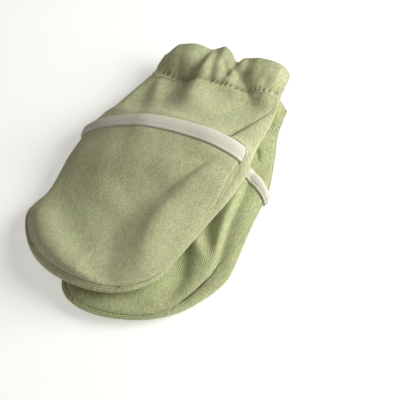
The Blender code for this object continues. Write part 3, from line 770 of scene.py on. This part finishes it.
def under_surface(mitten, along, across):
    """Points of the underside."""
    share = across / full_half(mitten, along, across)
    x, y = to_row(mitten, turned_along(mitten, along, across, share), across)
    outward = outwardness(mitten, along, across)
    side = 1.0 - rounded((1.0 - outward) / (1.0 - FLAT_SHARE))
    height = section_at(mitten, "belly", along) * side
    rise = stillness(outward) * under_rise(mitten, along, share)
    return np.stack([x, y, bed(mitten, x, y) + height + rise], axis=-1)


Places = namedtuple("Places", "x y beyond wrap")


def grid_places(columns, rows):
    """Where a grid's points lie in a half disc with a strip beyond it. A column is -1 to 1 across.
    A row is -1 to 0 from the finger end to where the sides run straight on, and then
    millimetres beyond that. What is past 1 or -1 wraps round the outline."""
    across, ahead = np.meshgrid(columns, rows)
    around = np.maximum(1.0, np.maximum(np.abs(across), -ahead))
    x = across / around
    y = np.maximum(0.0, -ahead) / around
    return Places(
        x * np.sqrt(1.0 - y * y / 2.0),
        y * np.sqrt(1.0 - x * x / 2.0),
        np.maximum(0.0, ahead),
        (around - 1.0) / WRAP_SPREAD,
    )


def straight_places(share, ahead):
    """Places beyond the round end: -1 to 1 across, and how many millimetres beyond."""
    return Places(share, np.zeros_like(ahead), ahead, np.zeros_like(ahead))


def tipward(places):
    """1 round the finger end, 0 where the sides run straight on."""
    return smooth_step(2.0 * places.y)


def flat_place(mitten, places, inset):
    """(along, across) of the places, drawn in from the outline."""
    along = mitten.rounding - (mitten.rounding - inset) * places.y + places.beyond
    return along, places.x * (full_half(mitten, along, places.x) - inset)


def seam_inset(mitten, places):
    """How far in from the outline the seam lies that is nearest to each place."""
    along = mitten.rounding * (1.0 - places.y) + places.beyond
    share = smooth_step((1.0 + places.x) / 2.0)
    left = section_at(mitten, "left_roll", along)
    return (1.0 - share) * left + share * section_at(mitten, "right_roll", along)


def normals_of(points):
    """The grid's normals, up where its columns run to the right and its rows along."""
    across, ahead = np.gradient(points, axis=1), np.gradient(points, axis=0)
    normal = np.cross(across, ahead)
    return normal / np.maximum(np.linalg.norm(normal, axis=-1, keepdims=True), 1e-9)


def seam_drop(mitten, places, inset, steepness):
    """How far a panel's edge has rolled down into its seam."""
    half = full_half(mitten, mitten.rounding + places.beyond, places.x) - inset
    reach = np.hypot(places.x * half, places.y * (mitten.rounding - inset))
    radius = np.hypot(places.x, places.y)
    across_one = reach / np.maximum(radius, WELL_INSIDE)
    across_one = np.where(radius > WELL_INSIDE, across_one, mitten.rounding)
    distance = np.maximum(0.0, 1.0 - radius) * across_one
    return rolled(mitten, places, distance / np.maximum(steepness, STEEPEST))


def rolled(mitten, places, distance):
    """A soft quarter round down to the seam, deepest round the finger end."""
    depth = mitten.groove + (mitten.tip_groove - mitten.groove) * tipward(places)
    return depth * (1.0 - rounded(distance / SEAM_WIDTH))


def unevenness(mitten, points):
    """Soft lumps, so that no stretch of cloth is quite even."""
    shift = mitten.lump_shift
    along, across = from_row(mitten, points[..., 0], points[..., 1])
    ways = ((along, across), (across, along), (along + across, along - across))
    lumps = np.zeros_like(along)
    for lump, (way, beside) in zip(LUMPS, ways):
        wobble = np.sin(beside / lump.wobble_length + lump.wobble_start * shift)
        turn = way / lump.length + lump.wobble * wobble + lump.start * shift
        lumps += lump.height * np.sin(turn)
    return lumps


def gathers(mitten, along, across):
    """How far the elastic draws the cloth in, with the small puckers that run out from it."""
    shift = mitten.gather_shift
    share = across / full_half(mitten, along, across)
    away = along - elastic_at(mitten, share)
    slowly = np.sin(across / GATHERS_VARY_SLOWLY + shift)
    quickly = np.sin(across / GATHERS_VARY_QUICKLY + 2 * shift)
    uneven = 1.0 - GATHERS_VARY + GATHERS_VARY * slowly * quickly
    trough = (TROUGH_DEPTH + TROUGH_DEEPER * share * share) * bell(away, TROUGH_WIDTH)
    wobble = PIT_WOBBLE * np.sin(across / PIT_WOBBLE_LENGTH)
    row = (0.5 + 0.5 * np.sin(PIT_TURN * across + wobble + shift)) ** 2
    pit = (PIT_DEPTH + PIT_DEEPER * share * share) * bell(away, PIT_WIDTH) * row
    wobble = PUCKER_WOBBLE * np.sin(across / PUCKER_WOBBLE_LENGTH + shift)
    wave = np.sin(across / PUCKER_LENGTH + wobble + shift)
    fade = np.exp(-np.abs(away) / PUCKER_REACH) * (1.0 - bell(away, PUCKER_CLEAR))
    pucker = PUCKER_DEPTH * wave * fade
    over_ridge = 1.0 - mitten.left_smooth * bell(across - LONG_RIDGE_AT, LONG_RIDGE_WIDTH)
    return mitten.drawn_in * over_ridge * uneven * (trough + pucker + pit)


def crowded(count, crowding):
    """Places from -1 to 1, closer together near the ends."""
    even = np.linspace(-1.0, 1.0, count + 1)
    return even * (1.0 + crowding - crowding * even * even)


def column_places(crowding, spacing=FINE):
    """Columns from one side of a mitten to the other."""
    return crowded(2 * round(0.5 * WIDTH / spacing), crowding)


def row_places(mitten, start, end, crowding, spacing=FINE):
    """Rows from one place along the mitten to another, as grid_places takes them."""
    rows = []
    if start < mitten.rounding:
        tip = crowded(2 * round(TIP_ROWS * mitten.rounding / spacing), crowding)
        rows.append(tip[tip <= 0.0][:-1])
        start = mitten.rounding
    count = max(1, round((end - start) / spacing))
    rows.append(np.linspace(start, end, count + 1) - mitten.rounding)
    return np.concatenate(rows)


def run_up(steps, axis):
    """The distance reached after each of the steps, from 0."""
    before = [(0, 0), (0, 0)]
    before[axis] = (1, 0)
    return np.pad(np.cumsum(steps, axis=axis), before)


def flat_distances(mitten, points):
    """A knit map for a grid of points: millimetres over the cloth, across it and along it."""
    along, across = from_row(mitten, points[..., 0], points[..., 1])
    height = points[..., 2]
    over = run_up(np.hypot(np.diff(across, axis=1), np.diff(height, axis=1)), 1)
    down = run_up(np.hypot(np.diff(along, axis=0), np.diff(height, axis=0)), 0)
    middle = points.shape[1] // 2
    over += (across - over)[:, middle : middle + 1]
    return np.stack([over, down], axis=-1)


def with_hem(points, outward):
    """The grid with rows added that turn its last row over into a hem."""
    ahead = points[-1] - points[-2]
    ahead /= np.linalg.norm(ahead, axis=-1, keepdims=True)
    out = outward[-1]
    out = out - (out * ahead).sum(-1, keepdims=True) * ahead
    out /= np.linalg.norm(out, axis=-1, keepdims=True)
    rows = [points]
    for turn in np.linspace(0.0, math.pi, HEM_TURN + 1)[1:]:
        round_edge = math.sin(turn) * ahead - (1 - math.cos(turn)) * out
        rows.append((points[-1] + HEM_ROLL * round_edge)[None])
    depth = 0.0
    step = HEM_DEPTH / HEM_ROWS
    for row in range(len(points) - 2, 0, -1):
        depth += np.linalg.norm(points[row + 1] - points[row], axis=-1).mean()
        if depth >= step:
            rows.append((points[row] - 2 * HEM_ROLL * outward[row])[None])
            step += HEM_DEPTH / HEM_ROWS
        if depth > HEM_DEPTH:
            break
    return np.concatenate(rows)


def back_points(mitten):
    """The back, from the seams on top, round the outline and over the underside."""
    wraps = 1.0 + WRAP_SPREAD * np.linspace(0.0, 1.0, WRAP_COLUMNS + 1)[1:]
    columns = np.concatenate([-wraps[::-1], column_places(OUTLINE_CROWDING), wraps])
    rows = row_places(mitten, 0.0, length_of(mitten) - HEM_ROLL, OUTLINE_CROWDING)
    places = grid_places(columns, np.concatenate([-wraps[::-1], rows]))
    on_top = places.wrap > 0.0
    inset = seam_inset(mitten, places)
    along, across = flat_place(mitten, places, inset * places.wrap**WRAP_POWER)
    top, underside = top_surface(mitten, along, across), under_surface(mitten, along, across)
    points = np.where(on_top[..., None], top, underside)
    outward = -normals_of(points)
    from_seam = inset * (1.0 - places.wrap**WRAP_POWER)
    from_seam = from_seam / np.maximum(np.abs(outward[..., 2]), STEEPEST)
    line = TIP_LINE * tipward(places) * bell(from_seam - TIP_LINE_AT, TIP_LINE_WIDTH)
    sewn = np.where(on_top, rolled(mitten, places, from_seam) + line, 0.0)
    near_side = smooth_step((outwardness(mitten, along, across) - NEAR_SIDE) / NEAR_SIDE_FADE)
    gathered = near_side * np.clip(gathers(mitten, along, across), 0.0, BACK_GATHERS)
    points = points - (sewn + gathered)[..., None] * outward
    hemmed = with_hem(points, -normals_of(points))
    ahead = np.pad(places.beyond[:, 0], (0, len(hemmed) - len(points)), mode="edge")
    sides = smooth_step(ahead / TURNING_FADE)
    sides = sides * smooth_step((ahead[-1] - TURNING_FADE - ahead) / TURNING_FADE)
    return with_turnings(hemmed, TURNING * np.maximum(sides, LEAST_TURNING))


def with_turnings(points, width):
    """The grid with a narrow strip added on both sides that turns in along its seams."""
    inward = width[:, None, None] * normals_of(points)
    first, last = points[:, :1] + inward[:, :1], points[:, -1:] + inward[:, -1:]
    return np.concatenate([first, points, last], axis=1)


def front_points(mitten, start, end, spacing):
    """A panel of the front between its seams: its points, which way they face, how far along
    they are, and their stillness."""
    columns = column_places(SEAM_CROWDING, spacing)
    places = grid_places(columns, row_places(mitten, start, end, SEAM_CROWDING, spacing))
    inset = seam_inset(mitten, places)
    along, across = flat_place(mitten, places, inset)
    points = top_surface(mitten, along, across)
    outward = normals_of(points)
    still = stillness(np.hypot(places.x, places.y))
    drop = still * (unevenness(mitten, points) + gathers(mitten, along, across))
    drop = drop + seam_drop(mitten, places, inset, outward[..., 2])
    return points - drop[..., None] * outward, outward, along, still


def wrist_points(mitten):
    """The wrist panel, from its end under the flap to the hem."""
    points, outward, along, still = front_points(
        mitten, mitten.edge - UNDERLAP, length_of(mitten) - HEM_ROLL, FINEST
    )
    room = FLAP_ROOM * under_flap(mitten, along) * (SEWN_ROOM + (1.0 - SEWN_ROOM) * still)
    points = points - room[..., None] * outward
    return with_hem(points, normals_of(points))


def flap_points(mitten):
    """The flap, with a ditch where the binding is stitched to it."""
    points, outward, along, _ = front_points(mitten, 0.0, mitten.edge - FLAP_SHORT, FINE)
    ditch = DITCH_DEPTH * bell(along - mitten.edge + BINDING_BACK, DITCH_WIDTH)
    return points - ditch[..., None] * outward


def top_and_outward(mitten, along, across):
    """Points of the upper side, and which way it faces there."""
    within = full_half(mitten, along, across) - RIM
    inside = np.clip(across, -within, within)
    beside = top_surface(mitten, along, inside + NUDGE) - top_surface(mitten, along, inside - NUDGE)
    beyond = top_surface(mitten, along + NUDGE, inside) - top_surface(mitten, along - NUDGE, inside)
    outward = np.cross(beside, beyond)
    outward = outward / np.linalg.norm(outward, axis=-1, keepdims=True)
    return top_surface(mitten, along, across), outward


def binding_points(mitten):
    """The strip round the flap's edge: rows go round its section, and its ends are rounded."""
    corners = np.arange(len(BINDING))
    fine = np.linspace(0.0, len(BINDING) - 1.0, BINDING_SPLIT * (len(BINDING) - 1) + 1)
    rows = curve_through(corners, [row.along for row in BINDING], fine)
    outs = curve_through(corners, [row.out for row in BINDING], fine)[:, None]
    columns = column_places(2 * SEAM_CROWDING)
    share, ahead = np.meshgrid(columns, rows + mitten.edge - mitten.rounding)
    places = straight_places(share, ahead)
    seam = seam_inset(mitten, places)
    corner = smooth_step((rows + BINDING_CORNER_FROM) / BINDING_CORNER_LONG)[:, None]
    corner = corner * smooth_step((seam - BINDING_CORNER) / BINDING_CORNER)
    past = np.minimum(BINDING_PAST_SEAM, BINDING_PAST_SHARE * seam)
    along, across = flat_place(mitten, places, seam - past + BINDING_CORNER * corner)
    points, outward = top_and_outward(mitten, along, across)
    from_left = run_up(np.linalg.norm(np.diff(points, axis=1), axis=-1), 1)
    from_end = np.minimum(from_left, from_left[:, -1:] - from_left)
    out = BINDING_HEART + (outs - BINDING_HEART) * rounded(from_end / BINDING_END)
    out = out - stillness(share) * BINDING_LUMPS * unevenness(mitten, points)
    return points + out[..., None] * outward


def in_scene(name, data):
    """An object at the origin, linked to the scene."""
    made = bpy.data.objects.new(name, data)
    bpy.context.scene.collection.objects.link(made)
    return made


def smooth_piece(name, mesh, finish):
    """A smooth piece of one material that rides with the mittens."""
    mesh.shade_smooth()
    mesh.materials.append(finish)
    made = in_scene(name, mesh)
    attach(made, "root")
    return made


def cloth_object(name, mitten, points, finish, thickness, turned):
    """A thin shell on a grid of points."""
    cloth = bmesh.new()
    rows, columns = points.shape[:2]
    bmesh.ops.create_grid(cloth, x_segments=columns - 1, y_segments=rows - 1, size=1.0)
    knit = cloth.loops.layers.uv.new("Knit")
    flat = flat_distances(mitten, points)
    where = {}
    for vertex in cloth.verts:
        row = round((vertex.co.y + 1.0) / 2.0 * (rows - 1))
        column = round((vertex.co.x + 1.0) / 2.0 * (columns - 1))
        where[vertex] = row, column
        vertex.co = METRES * points[row, column]
    for face in cloth.faces:
        for loop in face.loops:
            loop[knit].uv = flat[where[loop.vert]]
    if turned:
        bmesh.ops.reverse_faces(cloth, faces=cloth.faces)
    mesh = bpy.data.meshes.new(name)
    cloth.to_mesh(mesh)
    cloth.free()
    made = smooth_piece(name, mesh, finish)
    shell = made.modifiers.new("Cloth thickness", "SOLIDIFY")
    shell.thickness = thickness
    shell.offset = -1.0
    shell.use_quality_normals = True
    return made


def stitch_object(name, starts, ends, outward, radius, finish):
    """Stitches as small capsules, from each start to its end."""
    thread = bmesh.new()
    for start, end, normal in zip(starts, ends, outward):
        middle, run = Vector(0.5 * METRES * (start + end)), Vector(METRES * (end - start))
        ahead, up = run.normalized(), Vector(normal)
        side = up.cross(ahead).normalized()
        turn = Matrix((ahead, side, ahead.cross(side))).transposed().to_4x4()
        size = Matrix.Diagonal((0.5 * run.length, radius, radius, 1.0))
        bmesh.ops.create_uvsphere(
            thread, u_segments=STITCH_SIDES, v_segments=STITCH_SIDES, radius=1.0,
            matrix=Matrix.Translation(middle) @ turn @ size @ Matrix.Rotation(math.pi / 2, 4, "Y"),
        )
    mesh = bpy.data.meshes.new(name)
    thread.to_mesh(mesh)
    thread.free()
    return smooth_piece(name, mesh, finish)


def elastic_stitches(mitten):
    """The starts, ends and outward directions of the zigzag that holds the elastic."""
    half = full_half(mitten, mitten.elastic, np.array([-1.0, 1.0])) - ZIGZAG_CLEAR
    across = np.arange(-half[0], half[1], ZIGZAG_STEP)
    share = across / full_half(mitten, mitten.elastic, across)
    zigzag = ZIGZAG_SWING * np.where(np.arange(len(across)) % 2 == 0, -1.0, 1.0)
    along = elastic_at(mitten, share) + zigzag
    points, outward = top_and_outward(mitten, along, across)
    drop = unevenness(mitten, points) + gathers(mitten, along, across)
    points = points + (ZIGZAG_OUT - drop * stillness(share))[:, None] * outward
    short = 0.5 * (1.0 - ZIGZAG_SHORT) * (points[1:] - points[:-1])
    return points[:-1] + short, points[1:] - short, outward[:-1]


def binding_stitches(mitten):
    """The starts, ends and outward directions of the stitches that hold the binding."""
    step = BINDING_STITCH / full_half(mitten, mitten.edge, 0.0)
    starts = np.arange(-BINDING_STITCH_ENDS, BINDING_STITCH_ENDS, step)
    share = np.stack([starts, starts + BINDING_STITCH_SHORT * step])
    ahead = np.full_like(share, mitten.edge + BINDING_STITCH_AT - mitten.rounding)
    places = straight_places(share, ahead)
    along, across = flat_place(mitten, places, seam_inset(mitten, places))
    points, outward = top_and_outward(mitten, along, across)
    out = BINDING_STITCH_OUT - stillness(share) * BINDING_LUMPS * unevenness(mitten, points)
    points = points + out[..., None] * outward
    return points[0], points[1], outward[0]


class Signal:
    """A socket that adds its own Math nodes when it is used in an expression."""

    def __init__(self, finish, socket):
        self.finish = finish
        self.socket = socket

    def __add__(self, other):
        return self.finish.maths("ADD", self, other)

    def __sub__(self, other):
        return self.finish.maths("SUBTRACT", self, other)

    def __rsub__(self, other):
        return self.finish.maths("SUBTRACT", other, self)

    def __mul__(self, other):
        return self.finish.maths("MULTIPLY", self, other)

    def __truediv__(self, other):
        return self.finish.maths("DIVIDE", self, other)

    def __pow__(self, other):
        return self.finish.maths("POWER", self, other)

    __radd__ = __add__
    __rmul__ = __mul__


class Finish:
    """A material under construction."""

    def __init__(self, name, roughness, sheen=0.0, specular=0.2):
        self.material = bpy.data.materials.new(name)
        self.material.use_nodes = True
        self.tree = self.material.node_tree
        self.shader = self.tree.nodes["Principled BSDF"]
        self.give(
            {
                "Roughness": roughness, "Specular IOR Level": specular, "Sheen Weight": sheen,
                "Sheen Roughness": 0.6,
            }
        )

    def give(self, values):
        """Fills sockets of the shader."""
        for key, value in values.items():
            self.put(self.shader.inputs[key], value)

    def put(self, socket, value):
        """Links a value to a socket, or sets it there."""
        if isinstance(value, Signal):
            self.tree.links.new(value.socket, socket)
        elif hasattr(value, "__len__") and len(value) == 3 and socket.type == "RGBA":
            socket.default_value = (*value, 1.0)
        else:
            socket.default_value = value

    def node(self, kind, settings, values, output=0):
        """Adds a node, makes its settings, fills its sockets and gives one of its outputs."""
        made = self.tree.nodes.new(kind)
        for key, value in settings.items():
            setattr(made, key, value)
        for key, value in values.items():
            self.put(made.inputs[key], value)
        return Signal(self, made.outputs[output])

    def maths(self, operation, *values):
        """A Math node on values."""
        return self.node("ShaderNodeMath", {"operation": operation}, dict(enumerate(values)))

    def mixed(self, share, first, second, blend="MIX"):
        """Two colours, with a share of the second."""
        settings = {"data_type": "RGBA", "blend_type": blend}
        return self.node("ShaderNodeMix", settings, {0: share, 6: first, 7: second}, 2)

    def noise(self, place, scale, detail=2.0, channel=None):
        """Noise from 0 to 1. A channel gives another pattern of the same scale."""
        values = {"Vector": place, "Scale": scale, "Detail": detail, "Roughness": 0.6}
        if channel is None:
            return self.node("ShaderNodeTexNoise", {}, values)
        colour = self.node("ShaderNodeTexNoise", {}, values, 1)
        return self.node("ShaderNodeSeparateColor", {}, {0: colour}, channel)

    def spread(self, value, lowest, highest):
        """A value from lowest to highest as 0 to 1."""
        values = {"Value": value, "From Min": lowest, "From Max": highest}
        return self.node("ShaderNodeMapRange", {}, values)


def knit_finish(name, colour, yarn, wale, depth):
    """Fine knit: ribs of little loops that follow the cloth, in yarn of mixed fibres."""
    finish = Finish(name, roughness=0.95, sheen=0.2)
    knit = finish.node("ShaderNodeUVMap", {"uv_map": "Knit"}, {})
    place = finish.node("ShaderNodeTexCoord", {}, {}, "Object")
    over = finish.node("ShaderNodeSeparateXYZ", {}, {"Vector": knit}, "X")
    down = finish.node("ShaderNodeSeparateXYZ", {}, {"Vector": knit}, "Y")
    wander = finish.noise(knit, WANDER_SCALE) - 0.5
    ribs = (over + wander * WANDER) / wale
    side = finish.maths("PINGPONG", ribs, 0.5) * 2.0
    turns = (down / yarn.course + side * LOOP_LEAN) * (2.0 * math.pi)
    loops = finish.maths("SINE", turns) * 0.5 + 0.5
    rib = 1.0 - side**2.0
    nap = finish.noise(knit, NAP_SCALE)
    fuzz = finish.noise(knit, FUZZ_SCALE)
    knitted = rib * (1.0 - LOOP_SHARE + loops * LOOP_SHARE)
    height = knitted + fuzz * FUZZ_HEIGHT + nap * NAP_HEIGHT
    bump = {"Strength": 1.0, "Distance": depth, "Height": height}
    slubs = finish.node("ShaderNodeMapping", {}, {"Vector": knit, "Scale": SLUB_SCALE})
    tone = finish.spread(finish.noise(slubs, TONE_SCALE, detail=3.0), *TONE_RANGE)
    blotch = finish.spread(finish.noise(place, BLOTCH_SCALE), *BLOTCH_RANGE)
    light = finish.noise(slubs, SPECKLE_SCALE, channel=1)
    blotched = finish.mixed(BLOTCHED, colour, finish.mixed(blotch, yarn.warm, yarn.cool))
    toned = finish.mixed(BLOTCH_SHARE, finish.mixed(tone, yarn.warm, yarn.cool), blotched)
    speckled = 1.0 - yarn.speckle * 0.5 + yarn.speckle * light
    # Painted shade: the colour is darkened in the hollows between the ribs. The speckle is the
    # fibres' own light and dark.
    shade = (1.0 - PAINTED_RIB_HOLLOW_SHADE + rib * PAINTED_RIB_HOLLOW_SHADE) * speckled
    grey = finish.node("ShaderNodeCombineColor", {}, {0: shade, 1: shade, 2: shade})
    coloured = finish.mixed(1.0, toned, grey, "MULTIPLY")
    finish.give({"Base Color": coloured, "Normal": finish.node("ShaderNodeBump", {}, bump)})
    return finish.material


def thread_finish(name, colour):
    """Sewing thread with a fine twist."""
    finish = Finish(name, roughness=0.7, sheen=0.1)
    place = finish.node("ShaderNodeTexCoord", {}, {}, "Object")
    twist = finish.noise(place, TWIST_SCALE)
    darker = tuple(TWIST_SHADE * part for part in colour)
    bump = {"Strength": 0.5, "Distance": TWIST_DEPTH, "Height": twist}
    coloured = finish.mixed(twist, darker, colour)
    finish.give({"Base Color": coloured, "Normal": finish.node("ShaderNodeBump", {}, bump)})
    return finish.material


class MittenCloth(bpy.types.PropertyGroup):
    """The cloth's sizes and colours."""

    thickness: bpy.props.FloatProperty(
        name="Cloth thickness", description="How thick one layer of the cloth is",
        default=CLOTH * METRES, min=0.0003, max=0.003, unit="LENGTH",
    )
    green: bpy.props.FloatVectorProperty(
        name="Cloth colour", description="Colour of the knitted panels",
        default=(0.565, 0.58, 0.33), min=0.0, max=1.0, subtype="COLOR",
    )
    # Painted light: the lower mitten is the same cloth as the upper one. It gets a greener, more
    # saturated copy of the colour to stand for the green light that the two cloths throw on each
    # other.
    fresh_green: bpy.props.FloatVectorProperty(
        name="Cloth colour with painted bounce light", description="Colour of the lower mitten, made greener to paint the light that the cloths throw on each other",
        default=(0.545, 0.58, 0.308), min=0.0, max=1.0, subtype="COLOR",
    )
    cream: bpy.props.FloatVectorProperty(
        name="Binding colour", description="Colour of the binding", default=(0.75, 0.73, 0.65),
        min=0.0, max=1.0, subtype="COLOR",
    )
    wale: bpy.props.FloatProperty(
        name="Rib width", description="Millimetres from one rib of the panels to the next",
        default=0.92, min=0.3, max=3.0,
    )
    binding_wale: bpy.props.FloatProperty(
        name="Binding rib width", description="Millimetres from one rib of the binding to the next",
        default=0.7, min=0.3, max=3.0,
    )
    knit_depth: bpy.props.FloatProperty(
        name="Knit depth", description="Depth of the knitted ribs", default=0.00034, unit="LENGTH",
    )


class MittenStage(bpy.types.PropertyGroup):
    """The floor, the light and the camera."""

    floor: bpy.props.FloatVectorProperty(
        name="Floor colour", description="Colour of the floor", default=(0.8, 0.8, 0.795),
        min=0.0, max=1.0, subtype="COLOR",
    )
    key: bpy.props.FloatProperty(
        name="Key light", description="Power of the large light", default=7.5, unit="POWER",
    )
    sky: bpy.props.FloatProperty(
        name="Sky", description="Strength of the light from all round", default=0.18,
    )


# The knits. colour and wale name a setting. warm and cool: what the fibres vary between.
# course: millimetres from one loop to the next. depth: a share of the knit depth's setting.
# speckle: how far the fibres vary from dark to light.
Yarn = namedtuple("Yarn", "colour warm cool wale course depth speckle")
YARNS = {
    "upper_sage_knit_cloth": Yarn(
        "green", (0.615, 0.56, 0.35), (0.515, 0.59, 0.33), "wale", 0.8, 1.0, 0.95
    ),
    # Painted light: the lower mitten's yarn is a greener copy of the upper one's, for the light
    # that the cloths throw on each other.
    "lower_sage_knit_cloth": Yarn(
        "fresh_green", (0.59, 0.565, 0.32), (0.49, 0.59, 0.30), "wale", 0.8, 1.0, 0.95
    ),
    "cream_binding_cloth": Yarn(
        "cream", (0.78, 0.74, 0.65), (0.73, 0.72, 0.65), "binding_wale", 0.6, 0.6, 0.16
    ),
}
THREADS = {"sage_thread": "green", "cream_thread": "cream"}


def finish_for(context, kind):
    """The material of that name, made when it is first asked for."""
    known = bpy.data.materials.get(kind)
    if known:
        return known
    cloth = context.scene.mitten_cloth
    if kind in THREADS:
        return thread_finish(kind, getattr(cloth, THREADS[kind]))
    yarn = YARNS[kind]
    colour, wale = getattr(cloth, yarn.colour), getattr(cloth, yarn.wale)
    return knit_finish(kind, colour, yarn, wale, yarn.depth * cloth.knit_depth)


def sewn_cloth(context, mitten, part, points, finish, share=1.0, turned=False):
    """A cloth that stands for its solid. share: of the cloth's thickness."""
    piece = cloth_object(
        f"{mitten.name}_{part}_cloth", mitten, points, finish_for(context, finish),
        share * context.scene.mitten_cloth.thickness, turned,
    )
    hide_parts(f"{mitten.name}_{part}")
    return piece


def knit_panel(context, mitten, part, points, turned=False):
    """A green panel of a mitten."""
    finish = mitten.name + "_sage_knit_cloth"
    return sewn_cloth(context, mitten, part, points, finish, turned=turned)


class MITTENS_OT_backs(bpy.types.Operator):
    """Makes both back panels"""

    bl_idname = "mittens.backs"
    bl_label = "Backs"

    def execute(self, context):
        for mitten in MITTENS:
            piece = knit_panel(context, mitten, "back", back_points(mitten), turned=True)
        return {"FINISHED"}


class MITTENS_OT_wrists(bpy.types.Operator):
    """Makes both wrist panels with their gathers"""

    bl_idname = "mittens.wrists"
    bl_label = "Wrists"

    def execute(self, context):
        for mitten in MITTENS:
            piece = knit_panel(context, mitten, "wrist", wrist_points(mitten))
        return {"FINISHED"}


class MITTENS_OT_bindings(bpy.types.Operator):
    """Makes the bindings of both flaps"""

    bl_idname = "mittens.bindings"
    bl_label = "Bindings"

    def execute(self, context):
        for mitten in MITTENS:
            sewn_cloth(
                context, mitten, "binding", binding_points(mitten), "cream_binding_cloth",
                share=0.5,
            )
        return {"FINISHED"}


class MITTENS_OT_flaps(bpy.types.Operator):
    """Makes the flaps that cover the fingers"""

    bl_idname = "mittens.flaps"
    bl_label = "Flaps"

    def execute(self, context):
        for mitten in MITTENS:
            piece = knit_panel(context, mitten, "flap", flap_points(mitten))
        return {"FINISHED"}


class MITTENS_OT_stitches(bpy.types.Operator):
    """Makes the zigzag that holds the elastic and the stitches of the bindings"""

    bl_idname = "mittens.stitches"
    bl_label = "Stitches"

    def execute(self, context):
        for mitten in MITTENS:
            zigzag = stitch_object(
                mitten.name + "_elastic_stitches", *elastic_stitches(mitten), ZIGZAG_THREAD,
                finish_for(context, "sage_thread"),
            )
            row = stitch_object(
                mitten.name + "_binding_stitches", *binding_stitches(mitten), BINDING_THREAD,
                finish_for(context, "cream_thread"),
            )
        return {"FINISHED"}


# The stage, in metres. A light's share is of the key light's power.
FLOOR_HALF = 6.0
FLOOR_LEVEL = -0.0002
FLOOR_GLOW = 0.38
SKY_COLOUR = (1.0, 0.93, 0.86, 1.0)
Light = namedtuple("Light", "name place size share colour")
LIGHTS = (
    Light("key_light", (0.61, 0.02, 0.33), 0.6, 1.0, (0.97, 1.0, 0.92)),
    Light("top_light", (-0.1, -0.5, 1.1), 0.9, 0.16, (1.0, 0.97, 0.93)),
)
LENS, SENSOR = 114.9, 36.0  # millimetres
LOOKS_DOWN = 56.0
CAMERA_AWAY = 0.60
CAMERA_AIM = (0.01811, -0.01407, 0.008)


def aimed(made, place, aim):
    """Moves a light or camera to its place and turns it to what it looks at."""
    made.location = place
    made.rotation_euler = (aim - place).to_track_quat("-Z", "Y").to_euler()


class MITTENS_OT_stage(bpy.types.Operator):
    """Makes the floor, the lights and the camera"""

    bl_idname = "mittens.stage"
    bl_label = "Stage"

    def execute(self, context):
        stage = context.scene.mitten_stage
        mesh = bpy.data.meshes.new("floor")
        sheet = bmesh.new()
        bmesh.ops.create_grid(sheet, x_segments=1, y_segments=1, size=FLOOR_HALF)
        bmesh.ops.translate(sheet, verts=sheet.verts, vec=(0.0, 0.0, FLOOR_LEVEL))
        sheet.to_mesh(mesh)
        sheet.free()
        paint = Finish("floor_paint", roughness=0.9, specular=0.1)
        white = (1.0, 1.0, 1.0)
        paint.give(
            {"Base Color": stage.floor, "Emission Color": white, "Emission Strength": FLOOR_GLOW}
        )
        mesh.materials.append(paint.material)
        in_scene("floor", mesh)
        world = bpy.data.worlds.new("sky")
        world.use_nodes = True
        background = world.node_tree.nodes["Background"]
        background.inputs["Color"].default_value = SKY_COLOUR
        background.inputs["Strength"].default_value = stage.sky
        context.scene.world = world
        for light in LIGHTS:
            lamp = bpy.data.lights.new(light.name, "AREA")
            lamp.shape = "DISK"
            lamp.size = light.size
            lamp.energy = light.share * stage.key
            lamp.color = light.colour
            aimed(in_scene(light.name, lamp), Vector(light.place), Vector())
        lens = bpy.data.cameras.new("camera")
        lens.lens = LENS
        lens.sensor_width = SENSOR
        lens.clip_start = 0.01
        camera = in_scene("camera", lens)
        turn = math.radians(LOOKS_DOWN)
        aim = Vector(CAMERA_AIM)
        away = CAMERA_AWAY * Vector((0.0, -math.cos(turn), math.sin(turn)))
        aimed(camera, aim + away, aim)
        context.scene.camera = camera
        context.scene.view_settings.view_transform = "Standard"
        return {"FINISHED"}


class MITTENS_PT_panel(bpy.types.Panel):
    """Lists what the mittens are made of"""

    bl_idname = "MITTENS_PT_panel"
    bl_label = "Baby mittens"
    bl_space_type = "VIEW_3D"
    bl_region_type = "UI"
    bl_category = "Mittens"

    def draw(self, context):
        for group in (context.scene.mitten_cloth, context.scene.mitten_stage):
            for key in group.bl_rna.properties.keys():
                if key not in ("rna_type", "name"):
                    self.layout.prop(group, key)
        for operator in OPERATORS:
            self.layout.operator(operator.bl_idname)


OPERATORS = (
    MITTENS_OT_stage, MITTENS_OT_backs, MITTENS_OT_wrists, MITTENS_OT_bindings, MITTENS_OT_flaps,
    MITTENS_OT_stitches,
)
CLASSES = (MittenCloth, MittenStage, *OPERATORS, MITTENS_PT_panel)


def register():
    for made in CLASSES:
        bpy.utils.register_class(made)
    bpy.types.Scene.mitten_cloth = bpy.props.PointerProperty(type=MittenCloth)
    bpy.types.Scene.mitten_stage = bpy.props.PointerProperty(type=MittenStage)


def unregister():
    del bpy.types.Scene.mitten_stage
    del bpy.types.Scene.mitten_cloth
    for made in reversed(CLASSES):
        bpy.utils.unregister_class(made)


def main():
    register()
    bpy.ops.mittens.stage()
    bpy.ops.mittens.backs()
    bpy.ops.mittens.wrists()
    bpy.ops.mittens.bindings()
    bpy.ops.mittens.flaps()
    bpy.ops.mittens.stitches()


if __name__ == "__main__":
    main()
